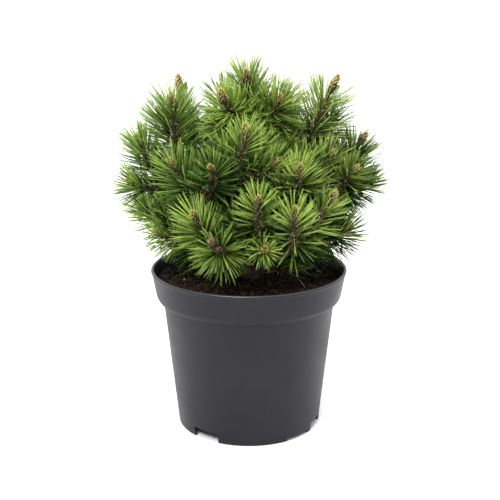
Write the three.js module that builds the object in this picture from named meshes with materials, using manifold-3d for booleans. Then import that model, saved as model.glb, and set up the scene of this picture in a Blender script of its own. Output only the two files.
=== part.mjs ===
// A young mugo pine in a round 3-litre nursery pot.
// Millimetres, +Z up. The origin is the middle of the pot's underside, and -Y is the front.
// Every part of the crown is placed by its bearing round the pot's axis (0 is +X, -90 the front),
// its reach out from that axis and its height over the ground.
import * as THREE from "three";
import { mergeVertices } from "three/addons/utils/BufferGeometryUtils.js";
import Module from "manifold-3d";

const wasm = await Module();
wasm.setup();

// ---------------------------------------------------------------- driving dimensions

const CLEARANCE = 0.3; // air between two pieces that meet

const POT = {
  height: 157,
  rimRadius: 95, // outside, at the lip
  lip: 2.6, // thickness of the lip
  lipHeight: 2, // of the flat at the lip, before the band's taper starts
  lipProud: 0.9, // how far the lip stands out from the band
  lipChamfer: 0.7,
  wall: 1.8,
  bandRadius: 90, // outside, where the rim band starts to turn in
  bandDepth: 25, // lip to that turn
  bandFoot: 31, // lip to the band's lower edge
  bandTurn: [0.8, 2.6, 2, 4], // in and down from the turn's start, to its two middle corners
  shoulderRadius: 83.2, // outside of the wall, right under the band
  shoulderLip: [1.4, 0.5], // out and up from the wall to the band's lower corner
  footRadius: 70.2,
  footChamfer: 1.2,
  floor: 5.5, // underside of the floor over the ground
  floorThickness: 2.2,
  footRing: 1, // extra thickness of the wall under the floor
  bossRadius: 14, // middle of the floor, which stands on the ground
  bossSlope: 2.5,
  slotDepth: 12,
  slotSweep: 23, // degrees of the wall that one drain slot takes
  slots: [[-126, 10.3], [-47, 3], [-20, 9]], // bearing and height, and the same again half a turn round
  sides: 40,
};

const SOIL = {
  top: 149, // at the trunk
  edge: 145, // at the wall
  flatRadius: 18, // level patch that the trunk stands on
  bump: 1.6, // height of the lumps
  bumpLengths: [7.3, 6.1], // of their waves, over a radian
  edgeSpare: 1.4, // room that the lumps need at the wall
};

const TRUNK = {
  baseRadius: 11.5,
  tipRadius: 3.6,
  height: 138,
  lean: [5, 8], // how far the tip stands off the pot's axis
  flare: 4, // extra radius of the roots at the ground
  flareHeight: 20,
  roots: 5,
  rootRelief: 0.16, // of the roots, as a share of the radius
  rings: [0, 3, 8, 20, 50, 80, 110, 138], // heights
  sides: 10,
};

const BOUGH = {
  baseRadius: 4.2,
  tipRadius: 3.3,
  bendReach: 0.62, // the bend's share of the way out to the fork
  bendRise: 0.32, // and of the way up to it
  sides: 6,
  rings: 4,
};

const SHOOT = {
  baseRadius: 3.1,
  tipRadius: 2.3,
  budRadius: 3.3,
  budLength: 13,
  candleLength: 19,
  budRings: [[0.42, 1], [0.72, 0.72]], // share of the bud's length, and of its radius
  bare: 10, // from the bud's tip down to the highest needle's root
  candle: 25, // bare stretch from which a bud is a long one
  branchAt: 0.12, // share of the first shoot's length where the others leave it
  swing: 0.75, // how far they turn from its direction to their own bud at once
  leave: 0.34, // reach of the curve's lower handle, as a share of the straight way to the bud
  arrive: 0.5, // and of its upper handle
  sides: 5,
};

const NEEDLE = {
  length: 38, // at a shoot of size 1
  topLength: 0.78, // share of that under the bud
  lengthSpread: 0.1,
  zone: 50, // stretch of a shoot of size 1, below the bud, that carries needles
  rings: 12, // of facets in that stretch, each with one needle for every side of the shoot
  openAngle: 96, // from the shoot, at the foot of the zone
  closedAngle: 24, // and under the bud
  bareAngle: 0.8, // degrees that angle gains for every millimetre that a bud stands clearer
  closing: 1.2, // power of the change from one to the other, which comes late
  angleSpread: 6,
  turnSpread: 10,
  shortest: 0.6, // share of its length below which a crowded needle is left out
  spacing: 0.8, // kept to the middle between two masses, and to the limbs, at the needle's tip
  rootSpacing: 2.4, // and at its root
  overLip: 2, // kept over the pot's lip
  overSoil: 3,
  insideLip: 5,
  overBud: 6, // stretch over the bud that counts as the shoot's own space
};

const COLOUR = { pot: "#38383c", soil: "#33241a", bark: "#5a4433", needles: "#5f8a33" };

// The crown. A bough leaves the trunk at height `from` and ends at its fork: [bearing, reach, height].
// Its mass of foliage starts there, with one shoot for each row: [bearing, reach, height, lean, size].
// The first three place the bud's tip, lean is the tip's angle from upright, and size is a share of the
// full needles. "bare" numbers the shoots whose buds stand clear, with the stretch from the bud's tip to
// the highest needle, and "aim" those whose tips lean to another bearing than their own. The mass with
// no bough goes on from the trunk's tip.
const CROWN = [
  {
    name: "front_left", from: 160, fork: [-110, 58, 184], bare: { 1: 22 }, aim: { 1: -135 },
    shoots: [[-120, 98, 231, 33, 0.85], [-107, 111, 211, 40, 0.85]],
  },
  {
    name: "front_middle", from: 171, fork: [-80, 56, 190],
    shoots: [[-85, 98, 247, 37, 0.75], [-82, 105, 204, 58, 0.5]],
  },
  {
    name: "front_right", from: 162, fork: [-55, 62, 186], bare: { 1: 16 },
    shoots: [[-67, 103, 237, 21, 0.78], [-38, 98, 243, 32, 0.72]],
  },
  {
    name: "right_low", from: 166, fork: [-8, 64, 184],
    shoots: [[-17, 101, 205, 45, 0.82], [14, 96, 204, 50, 0.72]],
  },
  {
    name: "right", from: 184, fork: [2, 76, 222], bare: { 0: 20 },
    shoots: [
      [0, 110, 288, 32, 0.88], [2, 120, 246, 40, 0.76],
      [27, 103, 266, 32, 0.85], [-20, 105, 262, 40, 0.8],
    ],
  },
  {
    name: "left_low", from: 164, fork: [-162, 64, 188],
    shoots: [[-156, 96, 202, 54, 0.7], [-170, 108, 227, 44, 0.72], [158, 79, 213, 30, 0.7]],
  },
  {
    name: "left", from: 186, fork: [-178, 74, 226],
    shoots: [[-177, 106, 286, 30, 0.8], [-169, 115, 247, 52, 0.82], [158, 107, 260, 35, 0.75]],
  },
  {
    name: "centre_left", from: 192, fork: [-130, 56, 224],
    shoots: [[-140, 92, 273, 30, 0.82], [-110, 96, 272, 52, 0.82]],
  },
  {
    name: "centre_right", from: 196, fork: [-48, 54, 228],
    shoots: [[-60, 90, 271, 18, 0.76], [-22, 84, 276, 30, 0.8]],
  },
  {
    name: "centre", from: 208, fork: [-104, 50, 244],
    shoots: [[-92, 75, 306, 14, 0.65], [-73, 79, 276, 24, 0.82]],
  },
  {
    name: "upper_left", from: 215, fork: [-170, 60, 256], bare: { 0: 15, 1: 34 },
    shoots: [[-168, 73, 327, 11, 1], [151, 78, 338, 12, 0.56], [178, 86, 310, 30, 0.8]],
  },
  {
    name: "upper_right", from: 224, fork: [-14, 46, 266], bare: { 0: 28 },
    shoots: [[3, 83, 341, 25, 1], [14, 88, 304, 34, 0.9]],
  },
  {
    name: "crown_top", bare: { 0: 11, 1: 24 }, aim: { 1: -128 },
    shoots: [
      [-112, 6, 347, 4, 0.92], [-119, 52, 332, 22, 0.9],
      [-51, 45, 326, 20, 1], [95, 38, 333, 10, 0.8],
    ],
  },
  {
    name: "back_right_low", from: 159, fork: [44, 60, 186],
    shoots: [[34, 107, 203, 58, 0.8], [54, 102, 235, 34, 0.85]],
  },
  {
    name: "back_middle_low", from: 170, fork: [92, 60, 186],
    shoots: [[74, 110, 201, 60, 0.85], [96, 100, 237, 32, 0.9], [112, 111, 200, 60, 0.85]],
  },
  {
    name: "back_left_low", from: 158, fork: [140, 60, 188],
    shoots: [[142, 108, 206, 58, 0.8], [132, 97, 239, 32, 0.85]],
  },
  {
    name: "back_right", from: 194, fork: [54, 56, 230],
    shoots: [[42, 97, 283, 24, 0.85], [68, 100, 269, 36, 0.9]],
  },
  {
    name: "back_left", from: 190, fork: [120, 56, 230],
    shoots: [[104, 97, 277, 30, 0.9], [134, 97, 285, 24, 0.85]],
  },
  {
    name: "back_upper", from: 226, fork: [84, 44, 270],
    shoots: [[50, 62, 317, 14, 0.85], [118, 62, 324, 12, 0.85]],
  },
];

// ---------------------------------------------------------------- helpers

const radians = THREE.MathUtils.degToRad;
const lerp = THREE.MathUtils.lerp;

function place(bearing, reach, height) {
  const turn = radians(bearing);
  return new THREE.Vector3(reach * Math.cos(turn), reach * Math.sin(turn), height);
}

// The direction that leans by `lean` degrees from upright towards a bearing.
function leaning(bearing, lean) {
  return place(bearing, Math.sin(radians(lean)), Math.cos(radians(lean)));
}

// A repeatable source of numbers from 0 to 1.
function seeded(seed) {
  let state = seed >>> 0;
  return () => {
    state = (state + 0x6d2b79f5) >>> 0;
    let mixed = Math.imul(state ^ (state >>> 15), state | 1);
    mixed ^= mixed + Math.imul(mixed ^ (mixed >>> 7), mixed | 61);
    return ((mixed ^ (mixed >>> 14)) >>> 0) / 4294967296;
  };
}

function toSolid(geometry) {
  const bare = geometry.clone();
  bare.deleteAttribute("normal");
  bare.deleteAttribute("uv");
  const merged = mergeVertices(bare, 1e-3);
  return new wasm.Manifold(
    new wasm.Mesh({
      numProp: 3,
      vertProperties: new Float32Array(merged.attributes.position.array),
      triVerts: new Uint32Array(merged.index.array),
    }),
  );
}

function toGeometry(solid) {
  const mesh = solid.getMesh();
  const geometry = new THREE.BufferGeometry();
  geometry.setAttribute("position", new THREE.BufferAttribute(mesh.vertProperties, 3));
  geometry.setIndex(new THREE.BufferAttribute(mesh.triVerts, 1));
  const flat = geometry.toNonIndexed();
  flat.computeVertexNormals();
  return flat;
}

// The largest of a solid's separate bodies, so that no loose scrap stays.
function largestBody(solid) {
  return solid.decompose().reduce((best, body) => (body.volume() > best.volume() ? body : best));
}

// A cylinder bent along a curve. Each station is [share of the curve's length, radius].
// `outline` gives a factor on the radius for a turn round the limb and a share of its length, and
// `twist` turns each ring against the one below it.
function limbGeometry(curve, stations, sides, { outline = () => 1, twist = 0 } = {}) {
  const rings = stations.length - 1;
  const pointed = stations[rings][1] === 0;
  const geometry = new THREE.CylinderGeometry(pointed ? 0 : 1, 1, 1, sides, rings);
  const frames = [];
  let side = new THREE.Vector3(1, 0, 0);
  let before = new THREE.Vector3(0, 0, 1);
  for (const [share] of stations) {
    const along = curve.getTangentAt(share);
    side = side.clone().applyQuaternion(new THREE.Quaternion().setFromUnitVectors(before, along));
    before = along;
    frames.push({ centre: curve.getPointAt(share), side, across: along.clone().cross(side) });
  }
  const position = geometry.attributes.position;
  for (let i = 0; i < position.count; i++) {
    // three.js cylinders stand along Y, with ring 0 at the bottom.
    const ring = Math.round((position.getY(i) + 0.5) * rings);
    const [share, radius] = stations[ring];
    const turn = Math.atan2(position.getX(i), position.getZ(i)) + ring * twist;
    const onAxis = Math.hypot(position.getX(i), position.getZ(i)) < 1e-9; // the middle of an end cap
    const reach = onAxis ? 0 : radius * outline(turn, share);
    const { centre, side: s, across } = frames[ring];
    const point = centre
      .clone()
      .addScaledVector(s, reach * Math.cos(turn))
      .addScaledVector(across, reach * Math.sin(turn));
    position.setXYZ(i, point.x, point.y, point.z);
  }
  return geometry;
}

// A profile of [radius, height] points turned round the pot's axis, standing on Z.
function turned(profile) {
  const points = profile.map(([r, z]) => new THREE.Vector2(r, z));
  return toSolid(new THREE.LatheGeometry(points, POT.sides).rotateX(Math.PI / 2));
}

// ---------------------------------------------------------------- pot and soil

const floorTop = POT.floor + POT.floorThickness;

// Inside radius of the wall at a height between the floor and the band.
function insideRadius(height) {
  const share = height / (POT.height - POT.bandFoot);
  return lerp(POT.footRadius, POT.shoulderRadius, share) - POT.wall;
}

// The corners that the band's outside and inside share: its lower edge and the start of its turn.
const bandEdge = POT.height - POT.bandFoot;
const bandStart = POT.height - POT.bandDepth;
const step = { height: bandEdge + 1.5, radius: POT.shoulderRadius - POT.wall };

function makePot() {
  const [inOne, downOne, inTwo, downTwo] = POT.bandTurn;
  const [lipOut, lipUp] = POT.shoulderLip;
  const outside = [
    [POT.footRadius - POT.footChamfer, 0],
    [POT.footRadius, POT.footChamfer],
    [POT.shoulderRadius, bandEdge],
    [POT.shoulderRadius + lipOut, bandEdge + lipUp],
    [POT.bandRadius - inTwo, bandStart - downTwo],
    [POT.bandRadius - inOne, bandStart - downOne],
    [POT.bandRadius, bandStart],
    [POT.rimRadius - POT.lipProud, POT.height - POT.lipHeight],
    [POT.rimRadius, POT.height - POT.lipHeight + POT.lipChamfer],
    [POT.rimRadius - POT.lipChamfer, POT.height],
  ];
  const lipInside = POT.rimRadius - POT.lip;
  const inside = [
    [lipInside, POT.height],
    [lipInside - POT.lipChamfer, POT.height - POT.lipHeight],
    [POT.bandRadius - POT.wall, bandStart],
    [step.radius, step.height],
    [insideRadius(floorTop), floorTop],
    [0, floorTop],
  ];
  const footInside = POT.footRadius - POT.wall - POT.footRing;
  const underside = [
    [0, 0],
    [POT.bossRadius, 0],
    [POT.bossRadius + POT.bossSlope, POT.floor],
    [footInside - 0.4, POT.floor],
    [footInside, 0],
  ];
  let pot = turned([...underside, ...outside, ...inside]);
  for (const [bearing, height] of POT.slots) {
    for (const half of [0, 180]) pot = pot.subtract(drainSlot(bearing + half, height));
  }
  return pot;
}

// A cutter through the foot of the wall, which also opens the edge of the floor.
function drainSlot(bearing, height) {
  const width = 2 * POT.footRadius * Math.sin(radians(POT.slotSweep / 2));
  const cutter = new THREE.BoxGeometry(POT.slotDepth, width, 2 * height);
  cutter.translate(POT.footRadius, 0, 0);
  cutter.rotateZ(radians(bearing));
  return toSolid(cutter);
}

// The growing mix: it follows the pot's wall and rises a little towards the trunk.
function makeSoil() {
  const gap = CLEARANCE + 0.1;
  const bandShare = (SOIL.edge - bandStart) / POT.bandDepth;
  const edgeInside = lerp(POT.bandRadius - POT.wall, POT.rimRadius - POT.lip - POT.lipChamfer, bandShare);
  const edgeRadius = edgeInside - gap - SOIL.edgeSpare;
  const topRadii = [0.93, 0.7, 0.45].map((share) => share * edgeRadius);
  const profile = [
    [0, floorTop + gap],
    [insideRadius(floorTop) - gap - 0.3, floorTop + gap],
    [step.radius - gap - 0.3, step.height + 0.5],
    [POT.bandRadius - POT.wall - SOIL.edgeSpare - gap, bandStart + 1],
    [edgeRadius, SOIL.edge - 2],
    ...topRadii.map((r) => [r, lerp(SOIL.edge, SOIL.top, 1 - r / edgeRadius)]),
    [SOIL.flatRadius, SOIL.top],
    [0, SOIL.top],
  ];
  const points = profile.map(([r, z]) => new THREE.Vector2(r, z));
  const geometry = new THREE.LatheGeometry(points, POT.sides).rotateX(Math.PI / 2);
  const position = geometry.attributes.position;
  for (let i = 0; i < position.count; i++) {
    const [x, y, z] = [position.getX(i), position.getY(i), position.getZ(i)];
    const reach = Math.hypot(x, y);
    const loose = z > SOIL.edge - 1 && reach > SOIL.flatRadius + 1;
    const [long, wide] = SOIL.bumpLengths;
    if (loose) position.setZ(i, z + SOIL.bump * Math.sin(x / long + 1.1) * Math.cos(y / wide));
  }
  return toSolid(geometry);
}

// ---------------------------------------------------------------- trunk and boughs

const trunkFoot = new THREE.Vector3(0, 0, SOIL.top + CLEARANCE);
const trunkTip = new THREE.Vector3(...TRUNK.lean, trunkFoot.z + TRUNK.height);
const trunkBend = new THREE.Vector3(0, 0, trunkFoot.z + TRUNK.height / 2); // so that the foot is level
const trunkCurve = new THREE.QuadraticBezierCurve3(trunkFoot, trunkBend, trunkTip);

// How much of the root flare is left at a share of the trunk's length.
function flareAt(share) {
  return Math.max(0, 1 - (share * TRUNK.height) / TRUNK.flareHeight) ** 2;
}

function trunkRadius(share) {
  return lerp(TRUNK.baseRadius, TRUNK.tipRadius, share) + TRUNK.flare * flareAt(share);
}

// `grown` adds to every radius, to make the cutter that keeps the boughs clear of the trunk.
function makeTrunk(grown = 0) {
  const shares = TRUNK.rings.map((height) => height / TRUNK.height);
  const stations = shares.map((share) => [share, trunkRadius(share) + grown]);
  const outline = (turn, share) => 1 + TRUNK.rootRelief * flareAt(share) * Math.cos(TRUNK.roots * turn);
  return toSolid(limbGeometry(trunkCurve, stations, TRUNK.sides, { outline }));
}

// The bough rises in one sweep: flat out of the trunk, and steeper towards its fork.
function boughCurve({ from, fork }) {
  const [bearing, reach, height] = fork;
  const start = trunkCurve.getPointAt((from - trunkFoot.z) / TRUNK.height);
  const bend = place(bearing, reach * BOUGH.bendReach, lerp(from, height, BOUGH.bendRise));
  return new THREE.QuadraticBezierCurve3(start, bend, place(bearing, reach, height));
}

function boughRadius(share) {
  return lerp(BOUGH.baseRadius, BOUGH.tipRadius, share);
}

function makeBough(row, trunkCutter) {
  const shares = Array.from({ length: BOUGH.rings + 1 }, (_, i) => i / BOUGH.rings);
  const stations = shares.map((share) => [share, boughRadius(share)]);
  return largestBody(toSolid(limbGeometry(boughCurve(row), stations, BOUGH.sides)).subtract(trunkCutter));
}

// A limb as short straight pieces, each with the radius of its lower end.
function limbPieces(curve, radiusAt) {
  const count = 8;
  const points = curve.getSpacedPoints(count);
  return points.slice(1).map((end, i) => ({ line: [points[i], end], radius: radiusAt(i / count) }));
}

// ---------------------------------------------------------------- foliage

// The shoots of one mass. The first goes on from its limb's tip, and the others branch off it.
function shootsOf(row) {
  const limb = row.from ? boughCurve(row) : trunkCurve;
  const along = limb.getTangentAt(1);
  const foot = limb.getPointAt(1).addScaledVector(along, CLEARANCE);
  const shoots = [];
  row.shoots.forEach(([bearing, reach, height, lean, size], order) => {
    const tip = place(bearing, reach, height);
    const start = order ? shoots[0].curve.getPointAt(SHOOT.branchAt) : foot;
    const span = start.distanceTo(tip);
    const swing = order ? SHOOT.swing : 0;
    const leave = along.clone().lerp(tip.clone().sub(start).normalize(), swing).normalize();
    const curve = new THREE.CubicBezierCurve3(
      start,
      start.clone().addScaledVector(leave, span * SHOOT.leave),
      tip.clone().addScaledVector(leaning(row.aim?.[order] ?? bearing, lean), -span * SHOOT.arrive),
      tip,
    );
    const bare = row.bare?.[order] ?? SHOOT.bare;
    const length = curve.getLength();
    const budFoot = 1 - (bare < SHOOT.candle ? SHOOT.budLength : SHOOT.candleLength) / length;
    const zoneTop = 1 - bare / length;
    const zoneFoot = Math.max(SHOOT.branchAt, zoneTop - (NEEDLE.zone * size) / length);
    shoots.push({ mass: row.name, curve, size, bare, budFoot, zoneFoot, zoneTop });
  });
  return shoots;
}

// A shoot's core: a bare foot, then the needle zone with its rings of facets, then the bud.
function coreStations({ budFoot, zoneFoot, zoneTop }) {
  const thickness = (share) => lerp(SHOOT.baseRadius, SHOOT.tipRadius, share / budFoot);
  const zone = Array.from({ length: NEEDLE.rings + 1 }, (_, i) => lerp(zoneFoot, zoneTop, i / NEEDLE.rings));
  const budAt = (share) => lerp(budFoot, 1, share);
  return [
    [0, thickness(0)],
    ...zone.map((share) => [share, thickness(Math.min(share, budFoot))]),
    ...SHOOT.budRings.map(([share, thick]) => [budAt(share), SHOOT.budRadius * thick]),
    [1, 0],
  ];
}

// One shoot with its needles. A needle is drawn out of one facet of the core, on every second facet
// of the needle zone, so it and the core are one body.
function makeShoot(shoot, spines, limbs, random) {
  const stations = coreStations(shoot);
  const rings = stations.length - 1;
  const core = limbGeometry(shoot.curve, stations, SHOOT.sides, { twist: -Math.PI / SHOOT.sides });
  const sideCorners = core.groups[0].count;
  const facets = core.toNonIndexed().attributes;
  const points = [];
  const cornerAt = (at) => new THREE.Vector3().fromBufferAttribute(facets.position, at);
  const shareAt = (at) => stations[Math.round(facets.uv.getY(at) * rings)][0];
  for (let i = 0; i < facets.position.count; i += 3) {
    const corners = [cornerAt(i), cornerAt(i + 1), cornerAt(i + 2)];
    const [a, b, c] = corners;
    const share = (shareAt(i) + shareAt(i + 1) + shareAt(i + 2)) / 3;
    const everySecond = i < sideCorners && (i / 3) % 2 === 1;
    const bearsNeedle = everySecond && share > shoot.zoneFoot && share < shoot.zoneTop;
    const tip = bearsNeedle && needleTip(corners, share, shoot, spines, limbs, random);
    points.push(...(tip ? [a, b, tip, b, c, tip, c, a, tip] : corners));
  }
  return toSolid(new THREE.BufferGeometry().setFromPoints(points));
}

// The tip of the needle that stands on a facet, or null where the needle would leave its space.
// Needles are wide open at the foot of their zone, and close and short under the bud.
function needleTip(corners, share, shoot, spines, limbs, random) {
  const spread = (range) => (random() - 0.5) * 2 * range;
  const rise = (share - shoot.zoneFoot) / (shoot.zoneTop - shoot.zoneFoot);
  const along = shoot.curve.getTangentAt(share);
  const root = corners[0].clone().add(corners[1]).add(corners[2]).divideScalar(3);
  const out = root.clone().sub(shoot.curve.getPointAt(share));
  out.addScaledVector(along, -out.dot(along)).normalize();
  out.applyAxisAngle(along, radians(spread(NEEDLE.turnSpread)));
  const closed = NEEDLE.closedAngle + NEEDLE.bareAngle * (shoot.bare - SHOOT.bare);
  const leaning = lerp(NEEDLE.openAngle, closed, rise ** NEEDLE.closing);
  const angle = radians(leaning + spread(NEEDLE.angleSpread));
  const direction = along.clone().multiplyScalar(Math.cos(angle)).addScaledVector(out, Math.sin(angle));
  const long = lerp(1, NEEDLE.topLength, rise ** 2) * (1 + spread(NEEDLE.lengthSpread));
  const full = NEEDLE.length * shoot.size * long;
  for (let size = 1; size >= NEEDLE.shortest; size -= 0.1) {
    if (hasRoom(root, direction, full * size, shoot, spines, limbs)) {
      return root.addScaledVector(direction, full * size);
    }
  }
  return null;
}

function hasRoom(root, direction, length, shoot, spines, limbs) {
  return [0.25, 0.45, 0.65, 0.85, 1].every((part) => {
    const room = lerp(NEEDLE.rootSpacing, NEEDLE.spacing, part);
    return isFree(root.clone().addScaledVector(direction, length * part), room, shoot, spines, limbs);
  });
}

// Whether a point of a needle keeps to its shoot's space, off the limbs, the soil and the pot's lip.
function isFree(point, room, shoot, spines, limbs) {
  const reach = Math.hypot(point.x, point.y);
  const overPot = point.z > POT.height + NEEDLE.overLip;
  const overSoil = point.z > SOIL.top + NEEDLE.overSoil && reach < POT.rimRadius - POT.lip - NEEDLE.insideLip;
  if (!overPot && !overSoil) return false;
  const own = distanceToLine(point, spines.get(shoot));
  for (const [other, spine] of spines) {
    const apart = other.mass === shoot.mass ? 0 : 2 * room;
    if (other !== shoot && distanceToLine(point, spine) < own + apart) return false;
  }
  return limbs.every(({ line, radius }) => distanceToLine(point, line) > radius + room);
}

// The line that a shoot's space is measured from: the shoot, and a stretch over its bud.
function spineOf({ curve }) {
  const points = curve.getSpacedPoints(7);
  points.push(points[7].clone().addScaledVector(curve.getTangentAt(1), NEEDLE.overBud));
  return points;
}

function distanceToLine(point, line) {
  let least = Infinity;
  const nearest = new THREE.Vector3();
  const piece = new THREE.Line3();
  for (let i = 1; i < line.length; i++) {
    piece.set(line[i - 1], line[i]).closestPointToPoint(point, true, nearest);
    least = Math.min(least, nearest.distanceTo(point));
  }
  return least;
}

function makeMass(shoots, spines, limbs, random) {
  return largestBody(wasm.Manifold.union(shoots.map((shoot) => makeShoot(shoot, spines, limbs, random))));
}

// ---------------------------------------------------------------- assembly

const materials = {
  pot: new THREE.MeshStandardMaterial({ color: COLOUR.pot, roughness: 0.5, metalness: 0 }),
  soil: new THREE.MeshStandardMaterial({ color: COLOUR.soil, roughness: 1, metalness: 0 }),
  bark: new THREE.MeshStandardMaterial({ color: COLOUR.bark, roughness: 0.9, metalness: 0 }),
  needles: new THREE.MeshStandardMaterial({ color: COLOUR.needles, roughness: 0.55, metalness: 0 }),
};

const plant = new THREE.Group();

function add(name, solid, material) {
  const mesh = new THREE.Mesh(toGeometry(solid), material);
  mesh.name = name;
  plant.add(mesh);
}

add("pot", makePot(), materials.pot);
add("potting_soil", makeSoil(), materials.soil);
add("trunk", makeTrunk(), materials.bark);

const branched = CROWN.filter((row) => row.from);
const trunkCutter = makeTrunk(CLEARANCE);
for (const row of branched) add(`bough_${row.name}`, makeBough(row, trunkCutter), materials.bark);

const masses = CROWN.map(shootsOf);
const spines = new Map(masses.flat().map((shoot) => [shoot, spineOf(shoot)]));
const limbs = [
  ...limbPieces(trunkCurve, trunkRadius),
  ...branched.flatMap((row) => limbPieces(boughCurve(row), boughRadius)),
];
masses.forEach((shoots, order) => {
  add(`foliage_${shoots[0].mass}`, makeMass(shoots, spines, limbs, seeded(101 + order)), materials.needles);
});

export default plant;
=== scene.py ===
"""A young mugo pine in a round nursery pot: its looks, grown over the packed solids."""

import functools
import math

import bmesh
import bpy
import numpy as np
from mathutils import Matrix, Vector, noise


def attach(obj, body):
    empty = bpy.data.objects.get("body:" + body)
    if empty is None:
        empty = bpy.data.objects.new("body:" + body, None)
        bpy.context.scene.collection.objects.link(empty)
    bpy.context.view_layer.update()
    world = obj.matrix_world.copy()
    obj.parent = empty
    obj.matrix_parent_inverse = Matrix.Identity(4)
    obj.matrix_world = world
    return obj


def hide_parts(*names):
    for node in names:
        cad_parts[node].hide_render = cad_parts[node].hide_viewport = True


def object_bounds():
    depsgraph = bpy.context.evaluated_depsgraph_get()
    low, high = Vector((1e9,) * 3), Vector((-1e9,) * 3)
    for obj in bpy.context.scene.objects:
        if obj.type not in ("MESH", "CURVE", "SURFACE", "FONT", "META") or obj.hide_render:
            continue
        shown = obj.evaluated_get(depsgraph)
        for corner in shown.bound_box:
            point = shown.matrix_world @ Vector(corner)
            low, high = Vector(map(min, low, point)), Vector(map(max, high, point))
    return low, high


bl_info = {
    "name": "Potted Mugo Pine",
    "version": (1, 0, 0),
    "blender": (4, 5, 0),
    "location": "3D View > Sidebar > Mugo Pine",
    "description": "Builds a young mugo pine in a round nursery pot",
    "category": "Add Mesh",
}

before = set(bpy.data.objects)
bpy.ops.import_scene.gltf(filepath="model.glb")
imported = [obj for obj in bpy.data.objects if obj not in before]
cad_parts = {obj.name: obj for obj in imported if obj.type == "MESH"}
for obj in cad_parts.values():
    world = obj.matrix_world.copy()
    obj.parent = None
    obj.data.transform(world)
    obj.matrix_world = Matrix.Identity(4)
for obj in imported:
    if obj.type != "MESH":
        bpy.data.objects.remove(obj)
CAD_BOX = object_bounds()

MM = 0.001
FULL_TURN = 2 * math.pi
GOLDEN_ANGLE = math.pi * (3 - math.sqrt(5))
UP = (0.0, 0.0, 1.0)
BLACK, WHITE = (0.0, 0.0, 0.0), (1.0, 1.0, 1.0)
SEED = 7


# ---------------------------------------------------------------- sizes and colours


def length_prop(label, meaning, metres):
    return bpy.props.FloatProperty(name=label, description=meaning, default=metres, unit="LENGTH")


def angle_prop(label, meaning, degrees):
    turn = math.radians(degrees)
    return bpy.props.FloatProperty(name=label, description=meaning, default=turn, subtype="ANGLE")


def count_prop(label, meaning, number):
    return bpy.props.IntProperty(name=label, description=meaning, default=number)


def colour_prop(label, meaning, *rgb):
    return bpy.props.FloatVectorProperty(
        name=label, description=meaning, default=rgb, subtype="COLOR", size=3
    )


class PotSettings(bpy.types.PropertyGroup):
    """The round plastic pot"""

    height: length_prop("Height", "Ground to lip", 0.157)
    rim_radius: length_prop("Rim radius", "Outside of the lip", 0.095)
    lip: length_prop("Lip", "Thickness of the lip", 0.0026)
    wall: length_prop("Wall", "Thickness of the wall", 0.0018)
    band_radius: length_prop("Band radius", "Where the rim band turns in", 0.090)
    band_depth: length_prop("Band depth", "Lip to the turn of the band", 0.025)
    band_foot: length_prop("Band foot", "Lip to the band's lower edge", 0.031)
    shoulder_radius: length_prop("Shoulder radius", "Wall under the band", 0.0832)
    foot_radius: length_prop("Foot radius", "Wall at the ground", 0.0702)
    floor: length_prop("Floor", "Ground to the underside of the floor", 0.0055)
    boss_radius: length_prop("Boss radius", "Middle of the floor, on the ground", 0.014)
    slot_sweep: angle_prop("Slot sweep", "Wall taken by a drain slot", 23)
    colour: colour_prop("Colour", "Pot plastic", 0.0050, 0.0044, 0.0092)
    # Wear on rubbed edges and scuffs; mixed into the lip, it also gives the lip its painted highlight.
    worn_and_lip_highlight_colour: colour_prop("Worn colour", "Plastic at rubbed edges", 0.070, 0.070, 0.075)


class SoilSettings(bpy.types.PropertyGroup):
    """The growing mix in the pot"""

    top: length_prop("Top", "Height at the trunk", 0.149)
    edge: length_prop("Edge", "Height at the wall", 0.145)
    relief: length_prop("Relief", "Height of the lumps", 0.0044)
    crumbs: count_prop("Crumbs", "Loose crumbs on the surface", 1900)
    fibres: count_prop("Fibres", "Loose fibres on the surface", 420)
    colour: colour_prop("Colour", "Moist peat", 0.012, 0.008, 0.006)
    dry_colour: colour_prop("Dry colour", "Peat that has dried", 0.088, 0.056, 0.030)


class WoodSettings(bpy.types.PropertyGroup):
    """The trunk, the boughs and the twigs"""

    base_radius: length_prop("Base radius", "Trunk over the root flare", 0.0115)
    tip_radius: length_prop("Tip radius", "Trunk at its tip", 0.0036)
    height: length_prop("Height", "Soil to the trunk's tip", 0.138)
    flare: length_prop("Flare", "Extra radius of the roots", 0.004)
    bough_radius: length_prop("Bough radius", "Bough at the trunk", 0.0042)
    fork_radius: length_prop("Fork radius", "Bough at its fork", 0.0033)
    shoot_radius: length_prop("Shoot radius", "Shoot at its fork", 0.0029)
    shoot_tip_radius: length_prop("Shoot tip radius", "Shoot under its bud", 0.0018)
    relief: length_prop("Relief", "Height of the bark's scales", 0.0011)
    bark_colour: colour_prop("Bark", "Old bark", 0.105, 0.068, 0.046)
    young_colour: colour_prop("Young bark", "Bark of this year's shoots", 0.088, 0.070, 0.024)


class NeedleSettings(bpy.types.PropertyGroup):
    """The needles, in pairs"""

    length: length_prop("Length", "Needles of a full shoot", 0.0375)
    width: length_prop("Width", "Across a needle", 0.00102)
    zone: length_prop("Zone", "Stretch below the bud with this year's needles", 0.037)
    old_zone: length_prop("Old zone", "Stretch below that with last year's needles", 0.026)
    pairs: count_prop("Pairs", "Pairs on a main shoot's zone", 145)
    old_pairs: count_prop("Old pairs", "Pairs on its old zone", 34)
    open_angle: angle_prop("Open angle", "From the shoot, at the foot of the zone", 66)
    closed_angle: angle_prop("Closed angle", "From the shoot, under the bud", 24)
    fresh_colour: colour_prop("Fresh", "Youngest needles", 0.330, 0.465, 0.074)
    middle_colour: colour_prop("Middle", "Needles in between", 0.110, 0.195, 0.026)
    deep_colour: colour_prop("Deep", "Oldest living needles", 0.014, 0.044, 0.004)


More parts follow.
